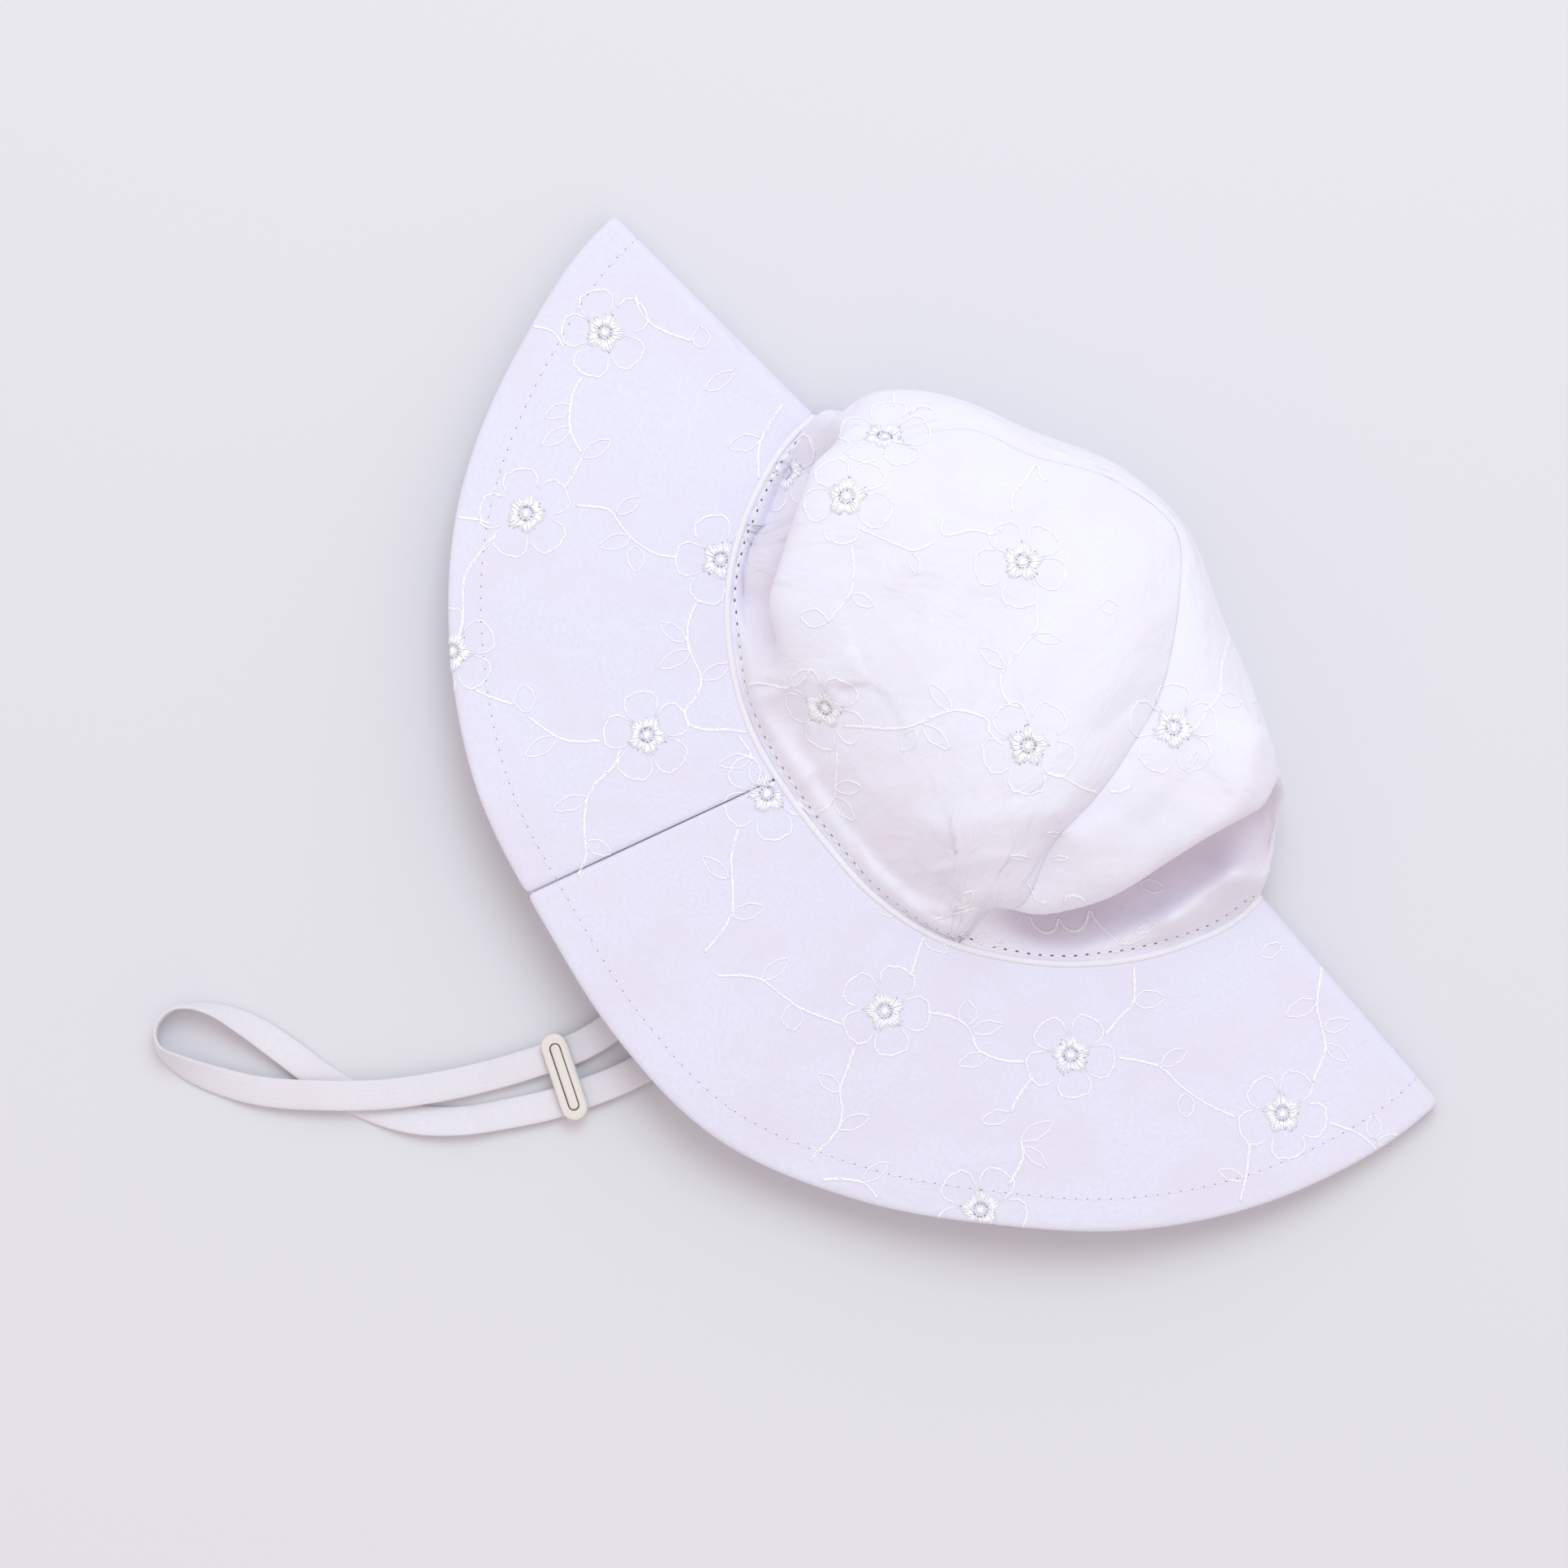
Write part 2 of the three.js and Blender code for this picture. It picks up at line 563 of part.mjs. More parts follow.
function addPiece(parent, name, geometry, { colour, roughness }) {
  const material = new THREE.MeshStandardMaterial({ color: colour, roughness, metalness: 0 });
  const mesh = new THREE.Mesh(geometry, material);
  mesh.name = name;
  parent.add(mesh);
  return mesh;
}

const nearSeam = 1 + nearPanel.sideSeam;
const farSeam = 4 - farPanel.sideSeam;
addPiece(hat, 'brim_front', brimHalf(farSeam - 4, nearSeam), cloth);
addPiece(hat, 'brim_back', brimHalf(nearSeam, farSeam), cloth);
addPiece(hat, 'seam_piping', ringGeometry(pipingRounds.map(pipingStation)), cloth);
addPiece(hat, 'crown_centre_panel', centrePanel(), cloth);
const nearNormal = share => archNormal(panelWay(share, true));
addPiece(hat, 'crown_side_panel_near', sidePanel(nearPanelPoint, nearSteps, true, nearNormal), cloth);
addPiece(hat, 'crown_side_panel_far', sidePanel(farPanelPoint, farSteps, false, null), cloth);

// The origin lies on the surface under the middle of the hat, which its strap and slider don't move
const middle = new THREE.Box3().setFromObject(hat).getCenter(new THREE.Vector3());
hat.position.set(-middle.x, -middle.y, 0);

addPiece(hat, 'chin_strap', strapGeometry(), cloth);
const slider = new THREE.Group();
slider.position.set(sliderPlace.x, sliderPlace.y, 0);
slider.rotation.z = sliderPlace.turn;
hat.add(slider);
addPiece(slider, 'slider_body', sliderBodyGeometry(), plastic);
addPiece(slider, 'slider_bar', sliderBarGeometry(), plastic);

export default hat;
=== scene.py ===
# %% [markdown]
# # A baby's embroidered sun hat
# The hat is white cotton, folded in half and laid on its side, photographed from straight above.
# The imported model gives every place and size. This lesson dresses it: cloth that has settled
# under its own weight, raised thread embroidery, a row of topstitches, a woven chin strap and
# a small plastic slider.

# %% Load the frame
import math
import random

import bmesh
import bpy
import numpy as np
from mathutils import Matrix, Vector
from mathutils.bvhtree import BVHTree


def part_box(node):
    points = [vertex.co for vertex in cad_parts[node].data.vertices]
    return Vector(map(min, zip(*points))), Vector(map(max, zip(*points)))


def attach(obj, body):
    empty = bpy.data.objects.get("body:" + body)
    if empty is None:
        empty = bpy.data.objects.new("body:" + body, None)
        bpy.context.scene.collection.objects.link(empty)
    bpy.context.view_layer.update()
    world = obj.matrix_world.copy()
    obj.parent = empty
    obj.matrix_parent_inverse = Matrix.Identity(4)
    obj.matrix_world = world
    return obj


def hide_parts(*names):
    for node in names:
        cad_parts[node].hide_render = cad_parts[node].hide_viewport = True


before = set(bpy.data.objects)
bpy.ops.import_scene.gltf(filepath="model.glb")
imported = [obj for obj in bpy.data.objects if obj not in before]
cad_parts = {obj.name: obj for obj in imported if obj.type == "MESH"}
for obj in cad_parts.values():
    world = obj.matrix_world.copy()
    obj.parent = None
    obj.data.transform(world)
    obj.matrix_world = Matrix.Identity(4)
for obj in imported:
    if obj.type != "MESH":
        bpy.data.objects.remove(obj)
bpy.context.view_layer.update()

# %% [markdown]
# ## Camera
# The photographer stood over the hat with a phone held level, so the camera looks straight
# down. The hat lies turned in the picture: its fold lines run from the upper left to the lower
# right. One photo pixel is about a fifth of a millimetre on the surface.

# %% Camera and picture scale
MM = 0.001
PHOTO_SIDE = 1932
PIXEL = 0.19917 * MM
CHORD_TURN = math.radians(47.08)
CHORD_MIDDLE_PX = (1256.1, 820.2)
LENS, SENSOR = 110.0, 36.0
CAMERA_PLANE = 12 * MM
CAMERA_HEIGHT = PHOTO_SIDE * PIXEL * LENS / SENSOR + CAMERA_PLANE


def first_corner(*nodes):
    """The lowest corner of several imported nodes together"""
    boxes = [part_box(node)[0] for node in nodes]
    return [min(corner[i] for corner in boxes) for i in range(3)]


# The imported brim's lowest corner is known in the fold-line frame too, so it gives the shift
BRIM_CORNER = (-149.55 * MM, -135.24 * MM)
packed_corner = first_corner("brim_front", "brim_back")
SHIFT = np.array([packed_corner[0] - BRIM_CORNER[0], packed_corner[1] - BRIM_CORNER[1], 0.0])
print("Fold lines' middle, in the row frame:", SHIFT)


def photo_to_plan(px, py):
    """A photo pixel's place on the surface, in the row frame"""
    right, down = (px - CHORD_MIDDLE_PX[0]) * PIXEL, (py - CHORD_MIDDLE_PX[1]) * PIXEL
    cos, sin = math.cos(CHORD_TURN), math.sin(CHORD_TURN)
    return Vector((right * cos + down * sin + SHIFT[0], right * sin - down * cos + SHIFT[1], 0.0))


def photo_at_height(px, py, height):
    """The place at a height on the camera's line of sight through a photo pixel"""
    middle = photo_to_plan(PHOTO_SIDE / 2, PHOTO_SIDE / 2)
    nearer = (CAMERA_HEIGHT - height) / (CAMERA_HEIGHT - CAMERA_PLANE)
    place = middle + (photo_to_plan(px, py) - middle) * nearer
    return Vector((place.x, place.y, height))


def photo_direction(right, up):
    """A direction in the picture as one on the surface"""
    cos, sin = math.cos(CHORD_TURN), math.sin(CHORD_TURN)
    return Vector((right * cos - up * sin, right * sin + up * cos, 0))


centre = photo_to_plan(PHOTO_SIDE / 2, PHOTO_SIDE / 2)
camera_data = bpy.data.cameras.new("camera")
camera_data.lens, camera_data.sensor_width = LENS, SENSOR
camera_data.clip_start, camera_data.clip_end = 0.05, 20
camera = bpy.data.objects.new("camera", camera_data)
bpy.context.collection.objects.link(camera)
camera.location = (centre.x, centre.y, CAMERA_HEIGHT)
camera.rotation_euler = (0, 0, CHORD_TURN)
bpy.context.scene.camera = camera
print(f"Camera {CAMERA_HEIGHT:.3f} m above the surface")

# %% [markdown]
# ## Materials
# Everything soft here is white cotton. Its colour is nearly flat, so what makes it cloth is
# the weave: two crossed sets of threads as a fine bump, a little unevenness in the yarn and a
# soft sheen. The weave follows each piece's own UV map, which is in metres of cloth.


# %% Node helpers
def new_material(name, colour, roughness):
    material = bpy.data.materials.new(name)
    material.use_nodes = True
    shader = material.node_tree.nodes["Principled BSDF"]
    shader.inputs["Base Color"].default_value = (*colour, 1)
    shader.inputs["Roughness"].default_value = roughness
    return material, material.node_tree, shader


def add_node(tree, kind, **values):
    node = tree.nodes.new(kind)
    for key, value in values.items():
        if key in node.inputs:
            node.inputs[key].default_value = value
        else:
            setattr(node, key, value)
    return node


def add_noise(tree, at, **values):
    """Noise read at the places that a socket gives"""
    noise = add_node(tree, "ShaderNodeTexNoise", **values)
    tree.links.new(at, noise.inputs["Vector"])
    return noise.outputs["Fac"]


def add_bump(tree, height, strength, distance, target):
    """Turn a height into a bump and hand it to the target's normal"""
    bump = add_node(tree, "ShaderNodeBump", Strength=strength, Distance=distance)
    tree.links.new(height, bump.inputs["Height"])
    tree.links.new(bump.outputs["Normal"], target.inputs["Normal"])
    return bump


def weave_height(tree, at, pitch):
    """Crossed yarns: the product of two sine waves, with some yarns thicker than others"""
    mapping = add_node(tree, "ShaderNodeMapping", Scale=(1 / pitch, 1 / pitch, 1 / pitch))
    tree.links.new(at, mapping.inputs["Vector"])
    crossed = add_node(tree, "ShaderNodeMath", operation="MULTIPLY")
    for i, direction in enumerate("XY"):
        wave = add_node(tree, "ShaderNodeTexWave", wave_type="BANDS", bands_direction=direction,
                        Scale=0.5, Distortion=1.2, Detail=1.0)
        tree.links.new(mapping.outputs["Vector"], wave.inputs["Vector"])
        tree.links.new(wave.outputs["Fac"], crossed.inputs[i])
    return crossed.outputs[0]


def blended(tree, share, colour, other, **values):
    """A colour socket mixed with one fixed colour"""
    node = add_node(tree, "ShaderNodeMix", data_type="RGBA", **values)
    tree.links.new(share, node.inputs["Factor"])
    tree.links.new(colour, node.inputs[6])
    node.inputs[7].default_value = (*other, 1)
    return node.outputs[2]


# %% Cotton
# Cloth in under a fold is marked with this attribute and gets painted shade: the tint darkens and
# warms its colour
POCKET_ATTRIBUTE = "pocket_shade"
POCKET_SHADE_TINT = (0.86, 0.80, 0.825)


def cotton(name, colour, pitch=0.42 * MM, strength=0.16, mottle=0.012, rumple=0.0):
    """Woven cotton. Rumple is the depth of the soft, unpressed creases"""
    material, tree, shader = new_material(name, colour, 0.86)
    shader.inputs["Sheen Weight"].default_value = 0.25
    shader.inputs["Sheen Roughness"].default_value = 0.55
    shader.inputs["Specular IOR Level"].default_value = 0.25
    uv = add_node(tree, "ShaderNodeTexCoord").outputs["UV"]
    total = add_node(tree, "ShaderNodeMath", operation="MULTIPLY_ADD")
    tree.links.new(add_noise(tree, uv, Scale=420.0, Detail=3.0, Roughness=0.6), total.inputs[0])
    total.inputs[1].default_value = 0.7
    tree.links.new(weave_height(tree, uv, pitch), total.inputs[2])
    weave = add_bump(tree, total.outputs[0], strength, 0.12 * MM, shader)
    if rumple:
        creased = add_noise(tree, uv, Scale=48.0, Detail=3.0, Roughness=0.5, Distortion=0.6)
        add_bump(tree, creased, 1.0, rumple, weave)
    ramp = add_node(tree, "ShaderNodeValToRGB")
    dark = [c * (1 - 2.4 * mottle) for c in colour]
    light = [min(1.0, c * (1 + mottle)) for c in colour]
    for stop, place, shade in zip(ramp.color_ramp.elements, (0.28, 0.62), (dark, light)):
        stop.position, stop.color = place, (*shade, 1)
    speckle = add_noise(tree, uv, Scale=900.0, Detail=2.0, Roughness=0.7)
    tree.links.new(speckle, ramp.inputs["Fac"])
    spread = add_node(tree, "ShaderNodeMapRange")
    spread.inputs["From Min"].default_value, spread.inputs["From Max"].default_value = 0.45, 0.68
    spread.inputs["To Max"].default_value = 0.8
    patches = add_noise(tree, uv, Scale=55.0, Detail=3.0, Roughness=0.55)
    tree.links.new(patches, spread.inputs["Value"])
    rosy = (colour[0], colour[1] * 0.955, colour[2] * 0.95)
    tinted = blended(tree, spread.outputs["Result"], ramp.outputs["Color"], rosy)
    # Painted shade: cloth marked as lying in under a fold is multiplied by the pocket tint, darker
    # and warmer
    pocket = add_node(tree, "ShaderNodeAttribute", attribute_name=POCKET_ATTRIBUTE)
    shaded = blended(tree, pocket.outputs["Fac"], tinted, POCKET_SHADE_TINT, blend_type="MULTIPLY")
    tree.links.new(shaded, shader.inputs["Base Color"])
    return material


def thread(name, colour):
    """Shiny embroidery cotton: brighter than the cloth and lightly glossy along the strands"""
    material, tree, shader = new_material(name, colour, 0.5)
    shader.inputs["Sheen Weight"].default_value = 0.2
    shader.inputs["Specular IOR Level"].default_value = 0.4
    at = add_node(tree, "ShaderNodeTexCoord").outputs["Object"]
    add_bump(tree, add_noise(tree, at, Scale=2600.0, Detail=2.0), 0.3, 0.06 * MM, shader)
    return material


# The crown and the brim are the same white cotton; the crown's lighter colour than the brim's is
# painted light
crown_cotton = cotton("crown_cotton", (0.83, 0.815, 0.91), rumple=1.7 * MM)
brim_cotton = cotton("brim_cotton", (0.765, 0.75, 0.875), pitch=0.46 * MM, mottle=0.018,
                     rumple=0.9 * MM)
piping_cotton = cotton("piping_cotton", (0.84, 0.82, 0.87), pitch=0.4 * MM)
strap_cotton = cotton("strap_cotton", (0.77, 0.745, 0.80), pitch=0.7 * MM, strength=0.4)
embroidery_thread = thread("embroidery_thread", (0.945, 0.93, 0.955))
# Dark colours laid on the cloth at needle holes: painted shade in the holes
hole_shade, _, _ = new_material("needle_hole_shade", (0.33, 0.31, 0.33), 0.95)
stitch_shade, _, _ = new_material("stitch_hole_shade", (0.13, 0.12, 0.14), 0.95)

# %% [markdown]
# ## The shape of the hat
# The brim is a flat ring of cloth folded along two lines, so one short table of shares round
# the half hat gives its seam, its width and how far it stands up. The crown is three panels:
# a long strip from front to back over the top, and two D-shaped sides. The same functions that
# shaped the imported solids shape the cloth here, only with far more points.

# %% Cut sizes
HEAD_GIRTH = 480 * MM
BRIM_WIDTH = 68 * MM
CROWN_RISE = 55.5 * MM
CLOTH_WALL = 1.2 * MM
BRIM_WALL = 1.6 * MM
PIPING_WIDTH = 1.7 * MM
PIPING_HEIGHT = 1.9 * MM
DOME_HEIGHT = 56 * MM
MOUTH_RISE = 12 * MM
BRIM_LIFT = 13 * MM
SEAM_FOLD_RADIUS = 4.6 * MM
EDGE_FOLD_RADIUS = 2.2 * MM
DOME_FULLNESS, DOME_SHOULDER = 0.24, 2.6
SEAM_RADIUS = HEAD_GIRTH / math.tau
SEWN_UNDER = 0.8 * MM
CROWN_EDGE = PIPING_WIDTH / 2 + CLOTH_WALL / 2 - SEWN_UNDER
# How far from the crown seam the cloth stays calm and where a fold may start
SEAM_CALM = 11 * MM
FOLD_CALM = 4 * MM
# How far the cloth dips below the seam inside a fold, and where beside the seam it does so
POCKET_DIP = 5.5 * MM
POCKET_SLOPE = (3 * MM, 9 * MM)
# The flat ledge where the crown is sewn down, and the share of a strip that joins its seam
SEAM_LEDGE = (2.2 * MM, 6.5 * MM)
END_SPAN = 0.14

# turn, seam radius, brim width, how far the mouth stands open, how far the edge lifts
HALF_ROUND = [
    (0.00, 1.038, 1.033, 0.00, 0.00),
    (0.08, 1.007, 1.019, 0.50, 0.10),
    (0.17, 0.970, 1.024, 0.80, 0.40),
    (0.25, 0.927, 1.017, 0.92, 0.75),
    (0.33, 0.890, 1.008, 1.00, 1.00),
    (0.42, 0.850, 0.994, 1.00, 0.95),
    (0.50, 0.844, 1.030, 1.00, 0.80),
    (0.58, 0.873, 1.045, 1.00, 0.70),
    (0.67, 0.911, 0.991, 1.00, 0.72),
    (0.75, 0.937, 0.965, 0.95, 0.80),
    (0.83, 0.976, 0.985, 0.80, 0.66),
    (0.92, 1.031, 0.995, 0.50, 0.30),
    (1.00, 1.077, 0.990, 0.00, 0.00),
]
NEAR_PANEL = dict(start=0.111, end=0.690, side_seam=0.40)
FAR_PANEL = dict(start=0.335, end=0.890, side_seam=0.61)

# The centre panel's near edge, its turn at the outline and its far edge, front to back
STRIP_COLUMNS = ("near_x", "near_y", "near_z", "turn_x", "turn_y", "turn_z", "far_x", "far_y")
STRIP = [
    (-0.93, -0.34, 0.38, -1.04, 0.06, 0.10, -0.45, -0.77),
    (-0.87, -0.25, 0.54, -1.02, 0.18, 0.26, -0.54, -0.50),
    (-0.87, 0.06, 0.64, -0.97, 0.41, 0.33, -0.58, -0.22),
    (-0.69, 0.53, 0.64, -0.78, 0.63, 0.36, -0.54, 0.04),
    (-0.46, 0.69, 0.66, -0.54, 0.77, 0.37, -0.41, 0.31),
    (-0.24, 0.88, 0.60, -0.25, 0.96, 0.36, -0.18, 0.54),
    (0.01, 0.93, 0.60, 0.04, 0.98, 0.36, 0.08, 0.65),
    (0.18, 0.70, 0.76, 0.30, 0.84, 0.38, 0.35, 0.65),
    (0.34, 0.37, 0.88, 0.58, 0.71, 0.38, 0.59, 0.54),
    (0.42, 0.03, 0.92, 0.79, 0.57, 0.36, 0.76, 0.34),
    (0.45, -0.22, 0.86, 0.92, 0.37, 0.32, 0.86, 0.09),
    (0.44, -0.45, 0.68, 1.01, 0.21, 0.23, 0.93, -0.13),
    (0.40, -0.77, 0.38, 1.07, 0.06, 0.10, 0.95, -0.35),
]

# Crests of the two folds where the crown falls over its own edge, as seen in the photo: pixels
# along the crest, its height, the drop beside it, how gently the fold starts and ends, and
# how strongly painted shade darkens and warms the cloth in the pocket
CRESTS = [
    dict(
        photo=[(1021, 516), (1008, 554), (994, 598), (979, 644), (964, 695), (951, 738), (941, 782),
               (934, 835)],
        height=26 * MM, drop=13 * MM, fades=(0.26, 0.30), shade=0.6,
    ),
    dict(
        photo=[(1192, 1142), (1232, 1134), (1275, 1128), (1330, 1116), (1377, 1097), (1437, 1057),
               (1479, 1029), (1530, 1002), (1584, 978)],
        height=26 * MM, drop=17 * MM, fades=(0.30, 0.10), shade=0.95,
    ),
]
# How pointed a crease is across, and the height in mm above which a ridge is cleared of painted
# shade, as if lit
CREASE_SHARPNESS = 1.5
LIT_RIDGE = 3.5
# Ridges and dents in photo pixels: from, to, height and half width in mm
WRINKLES = [
    (1350, 1168, 1440, 1128, 4.0, 3.2), (1440, 1128, 1513, 1074, 7.0, 4.0),
    (1513, 1074, 1572, 1080, 6.0, 4.0), (1425, 1175, 1540, 1110, -1.5, 3.0),
    (1452, 1022, 1530, 908, 3.4, 4.5), (1388, 1002, 1456, 938, -3.6, 6.0),
    (1345, 900, 1385, 868, -2.6, 6.0), (1285, 650, 1400, 592, -2.2, 7.0),
    (1090, 572, 1155, 560, -2.0, 6.0), (1190, 545, 1190, 625, 1.2, 3.5),
    (1155, 1088, 1250, 1042, -3.0, 7.0), (1150, 1020, 1235, 1000, 1.6, 6.0),
    (1290, 1000, 1320, 1030, 1.6, 5.0), (1560, 870, 1575, 950, 2.0, 5.0),
    (1300, 1090, 1350, 1085, -1.6, 4.0), (1500, 780, 1515, 830, -1.4, 5.0),
]


# %% Reading the tables
def track(at, value):
    """A smooth curve through a column, level at both ends"""
    at, value = np.asarray(at, float), np.asarray(value, float)
    slope = np.zeros_like(value)
    slope[1:-1] = (value[2:] - value[:-2]) / (at[2:] - at[:-2])

    def read(share):
        share = np.clip(share, at[0], at[-1])
        i = np.clip(np.searchsorted(at, share, side="right") - 1, 0, len(at) - 2)
        step = at[i + 1] - at[i]
        t = (share - at[i]) / step
        rise = value[i + 1] - value[i]
        a, b = slope[i] * step - rise, rise - slope[i + 1] * step
        return value[i] + t * rise + t * (1 - t) * ((1 - t) * a + t * b)

    return read


turns = [row[0] for row in HALF_ROUND]
seam_share, width_share, mouth_share, lift_share = (
    track(turns, [row[i] for row in HALF_ROUND]) for i in range(1, 5)
)
strip_ways = np.linspace(0, 1, len(STRIP))
strip_track = {
    column: track(strip_ways, [row[i] for row in STRIP])
    for i, column in enumerate(STRIP_COLUMNS)
}


def ease(value, low, high):
    t = np.clip((value - low) / (high - low), 0, 1)
    return t * t * (3 - 2 * t)


def mix(a, b, t):
    return a + (b - a) * t


def unit(vectors):
    return vectors / np.maximum(np.linalg.norm(vectors, axis=-1, keepdims=True), 1e-12)


def run_along(points, power=1):
    """The distance run up to each point of a line"""
    steps = np.linalg.norm(np.diff(points, axis=0), axis=1)
    return np.concatenate([[0], np.cumsum(steps**power)])


def read_columns(at, known, columns):
    """Every column of a table, read at new places"""
    return np.stack([np.interp(at, known, column) for column in np.transpose(columns)], -1)


# %% The brim's ring
def quarter_of(round_at):
    """Which quarter of the way round the hat a place is in, and its share along it"""
    quarter = np.mod(round_at, 4)
    part = np.floor(quarter).astype(int)
    return part, quarter - part


def turn_of(round_at):
    part, along = quarter_of(round_at)
    return np.choose(part, [0 * along, along, 0 * along + 1, 1 - along])


def hat_round(round_at, outwards, wall):
    """A place round the hat and outwards from the crown seam, at mid wall.
    round_at: 0 to 1 up the front fold, 1 to 2 near half, 2 to 3 back fold, 3 to 4 far half."""
    part, along = quarter_of(round_at)
    turn = turn_of(round_at)
    reach = outwards / (BRIM_WIDTH * width_share(turn))
    fold = mix(SEAM_FOLD_RADIUS, EDGE_FOLD_RADIUS, np.clip(reach, 0, 1))
    radius = SEAM_RADIUS * seam_share(turn) + outwards
    angle = math.pi * (1 + turn)
    roll = math.pi * np.choose(part, [along - 0.5, 0 * along, 0.5 - along, 0 * along])
    bulge = np.where(part % 2 == 0, fold * np.cos(roll), 0)
    rolled = fold * (1 + np.sin(roll))
    level = np.choose(part, [rolled, 2 * fold, rolled, 0 * fold])
    stands = mix(MOUTH_RISE * mouth_share(turn), BRIM_LIFT * lift_share(turn), reach)
    height = wall / 2 + level + np.where(part == 1, np.maximum(stands, 0), 0)
    return np.stack([radius * np.cos(angle), radius * np.sin(angle) + bulge, height], -1)


def seam_line(round_at):
    return hat_round(round_at, -CROWN_EDGE, CLOTH_WALL)


# %% The crown's bag
def plan_point(x, y):
    return np.stack([x * SEAM_RADIUS, np.where(y < 0, y * SEAM_RADIUS, y * CROWN_RISE)], -1)


def strip_point(way, side):
    plan = plan_point(strip_track[side + "_x"](way), strip_track[side + "_y"](way))
    if side == "far":
        height = np.full(np.shape(way), CLOTH_WALL / 2)
    else:
        height = DOME_HEIGHT * strip_track[side + "_z"](way)
    return np.concatenate([plan, height[..., None]], -1)


FOLD_FROM, FOLD_TO, LARGEST_ROLL = 0.44, 0.56, 0.5
END_ROUNDS = {
    "front": (1 + NEAR_PANEL["start"], 1, 0, -FAR_PANEL["start"]),
    "back": (1 + NEAR_PANEL["end"], 2, 3, 4 - FAR_PANEL["end"]),
}


def end_round(end, across):
    return np.interp(across, [0, FOLD_FROM, FOLD_TO, 1], END_ROUNDS[end])


def bag_section(way, across):
    near, turn, far = (strip_point(way, side) for side in ("near", "turn", "far"))
    upper_angle = np.clip(across, 0, 0.5) * math.pi
    upper = mix(near, turn, np.sin(upper_angle)[..., None])
    upper[..., 2] = mix(turn[..., 2], near[..., 2], np.cos(upper_angle))
    span = np.linalg.norm(turn - far, axis=-1)
    rolled = np.minimum(LARGEST_ROLL, turn[..., 2] / span)
    share = np.clip((across - 0.5) * 2, 0, 1)
    angle = np.minimum(share * 2, 1) * math.pi / 2
    travel = np.where(share < 0.5, rolled * (1 - np.cos(angle)), mix(rolled, 1, share * 2 - 1))
    lower = mix(turn, far, travel[..., None])
    falling = mix(turn[..., 2], far[..., 2], np.sin(angle))
    lower[..., 2] = np.where(share < 0.5, falling, far[..., 2])
    return np.where((across <= 0.5)[..., None], upper, lower)


def strip_base(way, across):
    """The centre panel before its folds"""
    point = bag_section(way, across)
    zero, one = np.zeros_like(way), np.ones_like(way)
    front = seam_line(end_round("front", across)) - bag_section(zero, across)
    back = seam_line(end_round("back", across)) - bag_section(one, across)
    point = point + front * (1 - ease(way, 0, END_SPAN))[..., None]
    return point + back * ease(way, 1 - END_SPAN, 1)[..., None]


def strip_upper(across):
    """1 on the centre panel's upper side, 0 on its hidden lower side"""
    return 1 - ease(across, 0.42, 0.60)


def crown_strip(way, across):
    way, across = np.broadcast_arrays(np.asarray(way, float), np.asarray(across, float))
    return press(strip_base(way, across), strip_upper(across))


def near_base(way, down):
    """The near side panel before its folds"""
    way, down = np.broadcast_arrays(np.asarray(way, float), np.asarray(down, float))
    arch = strip_base(way, np.zeros_like(way))
    foot = seam_line(1 + mix(NEAR_PANEL["start"], NEAR_PANEL["end"], way))
    point = mix(arch, foot, down[..., None])
    length = np.linalg.norm(arch - foot, axis=-1)
    dome = 1 - np.abs(2 * down - 1) ** DOME_SHOULDER
    point[..., 2] += DOME_FULLNESS * length * dome
    return point


def near_panel(way, down):
    return press(near_base(way, down), 1.0)


def far_panel(way, down):
    way, down = np.broadcast_arrays(np.asarray(way, float), np.asarray(down, float))
    arch = crown_strip(way, np.ones_like(way))
    foot = seam_line(4 - mix(FAR_PANEL["start"], FAR_PANEL["end"], way))
    return mix(arch, foot, down[..., None])


# %% [markdown]
# ## Folds
# Where the puffed crown falls over its own edge, the cloth makes an S: the band beside the
# piping runs in under the fold, turns back, and comes out over itself as a rounded crest. A
# short table says where each strip of cloth ends up in plan and how far it has dropped.

# %% Where each strip of cloth goes
# Cloth inside the crest line, its place in plan (both in mm), and its share of the drop
FOLD_SECTION = [
    (-40, -40.0, 0.0), (-16, -16.0, 0.42), (-8, -8.0, 0.80), (-4, -2.6, 0.97), (-1.5, 2.2, 1.04),
    (0.2, 5.6, 1.06), (1.4, 7.4, 0.98), (2.6, 7.2, 0.82), (4.4, 3.4, 0.60), (6.2, 0.3, 0.40),
    (7.2, -0.2, 0.25), (8.4, 0.8, 0.13), (10.8, 4.4, 0.05), (14.5, 11.0, 0.01), (19, 18.2, 0.0),
    (24, 24.0, 0.0), (60, 60.0, 0.0),
]
fold_cloth, fold_plan, fold_drop = (np.array(column, float) for column in zip(*FOLD_SECTION))
fold_shift = track(fold_cloth, fold_cloth - fold_plan)
fold_fall = track(fold_cloth, fold_drop)
seam_samples = seam_line(np.linspace(0, 3, 400))


def by_seam(points):
    """Distance from the crown seam and the seam's height there"""
    away = np.linalg.norm(points.reshape(-1, 1, 3) - seam_samples[None], axis=-1)
    nearest = away.argmin(axis=1)
    shape = points.shape[:-1]
    return away.min(axis=1).reshape(shape), seam_samples[nearest, 2].reshape(shape)


def crest_line(crest, steps=48):
    chosen = np.array([photo_at_height(*pixel, crest["height"])[:2] for pixel in crest["photo"]])
    shares = np.linspace(0, 1, len(chosen))
    even = np.linspace(0, 1, steps + 1)
    return np.stack([track(shares, chosen[:, i])(even) for i in range(2)], -1) - SHIFT[:2]


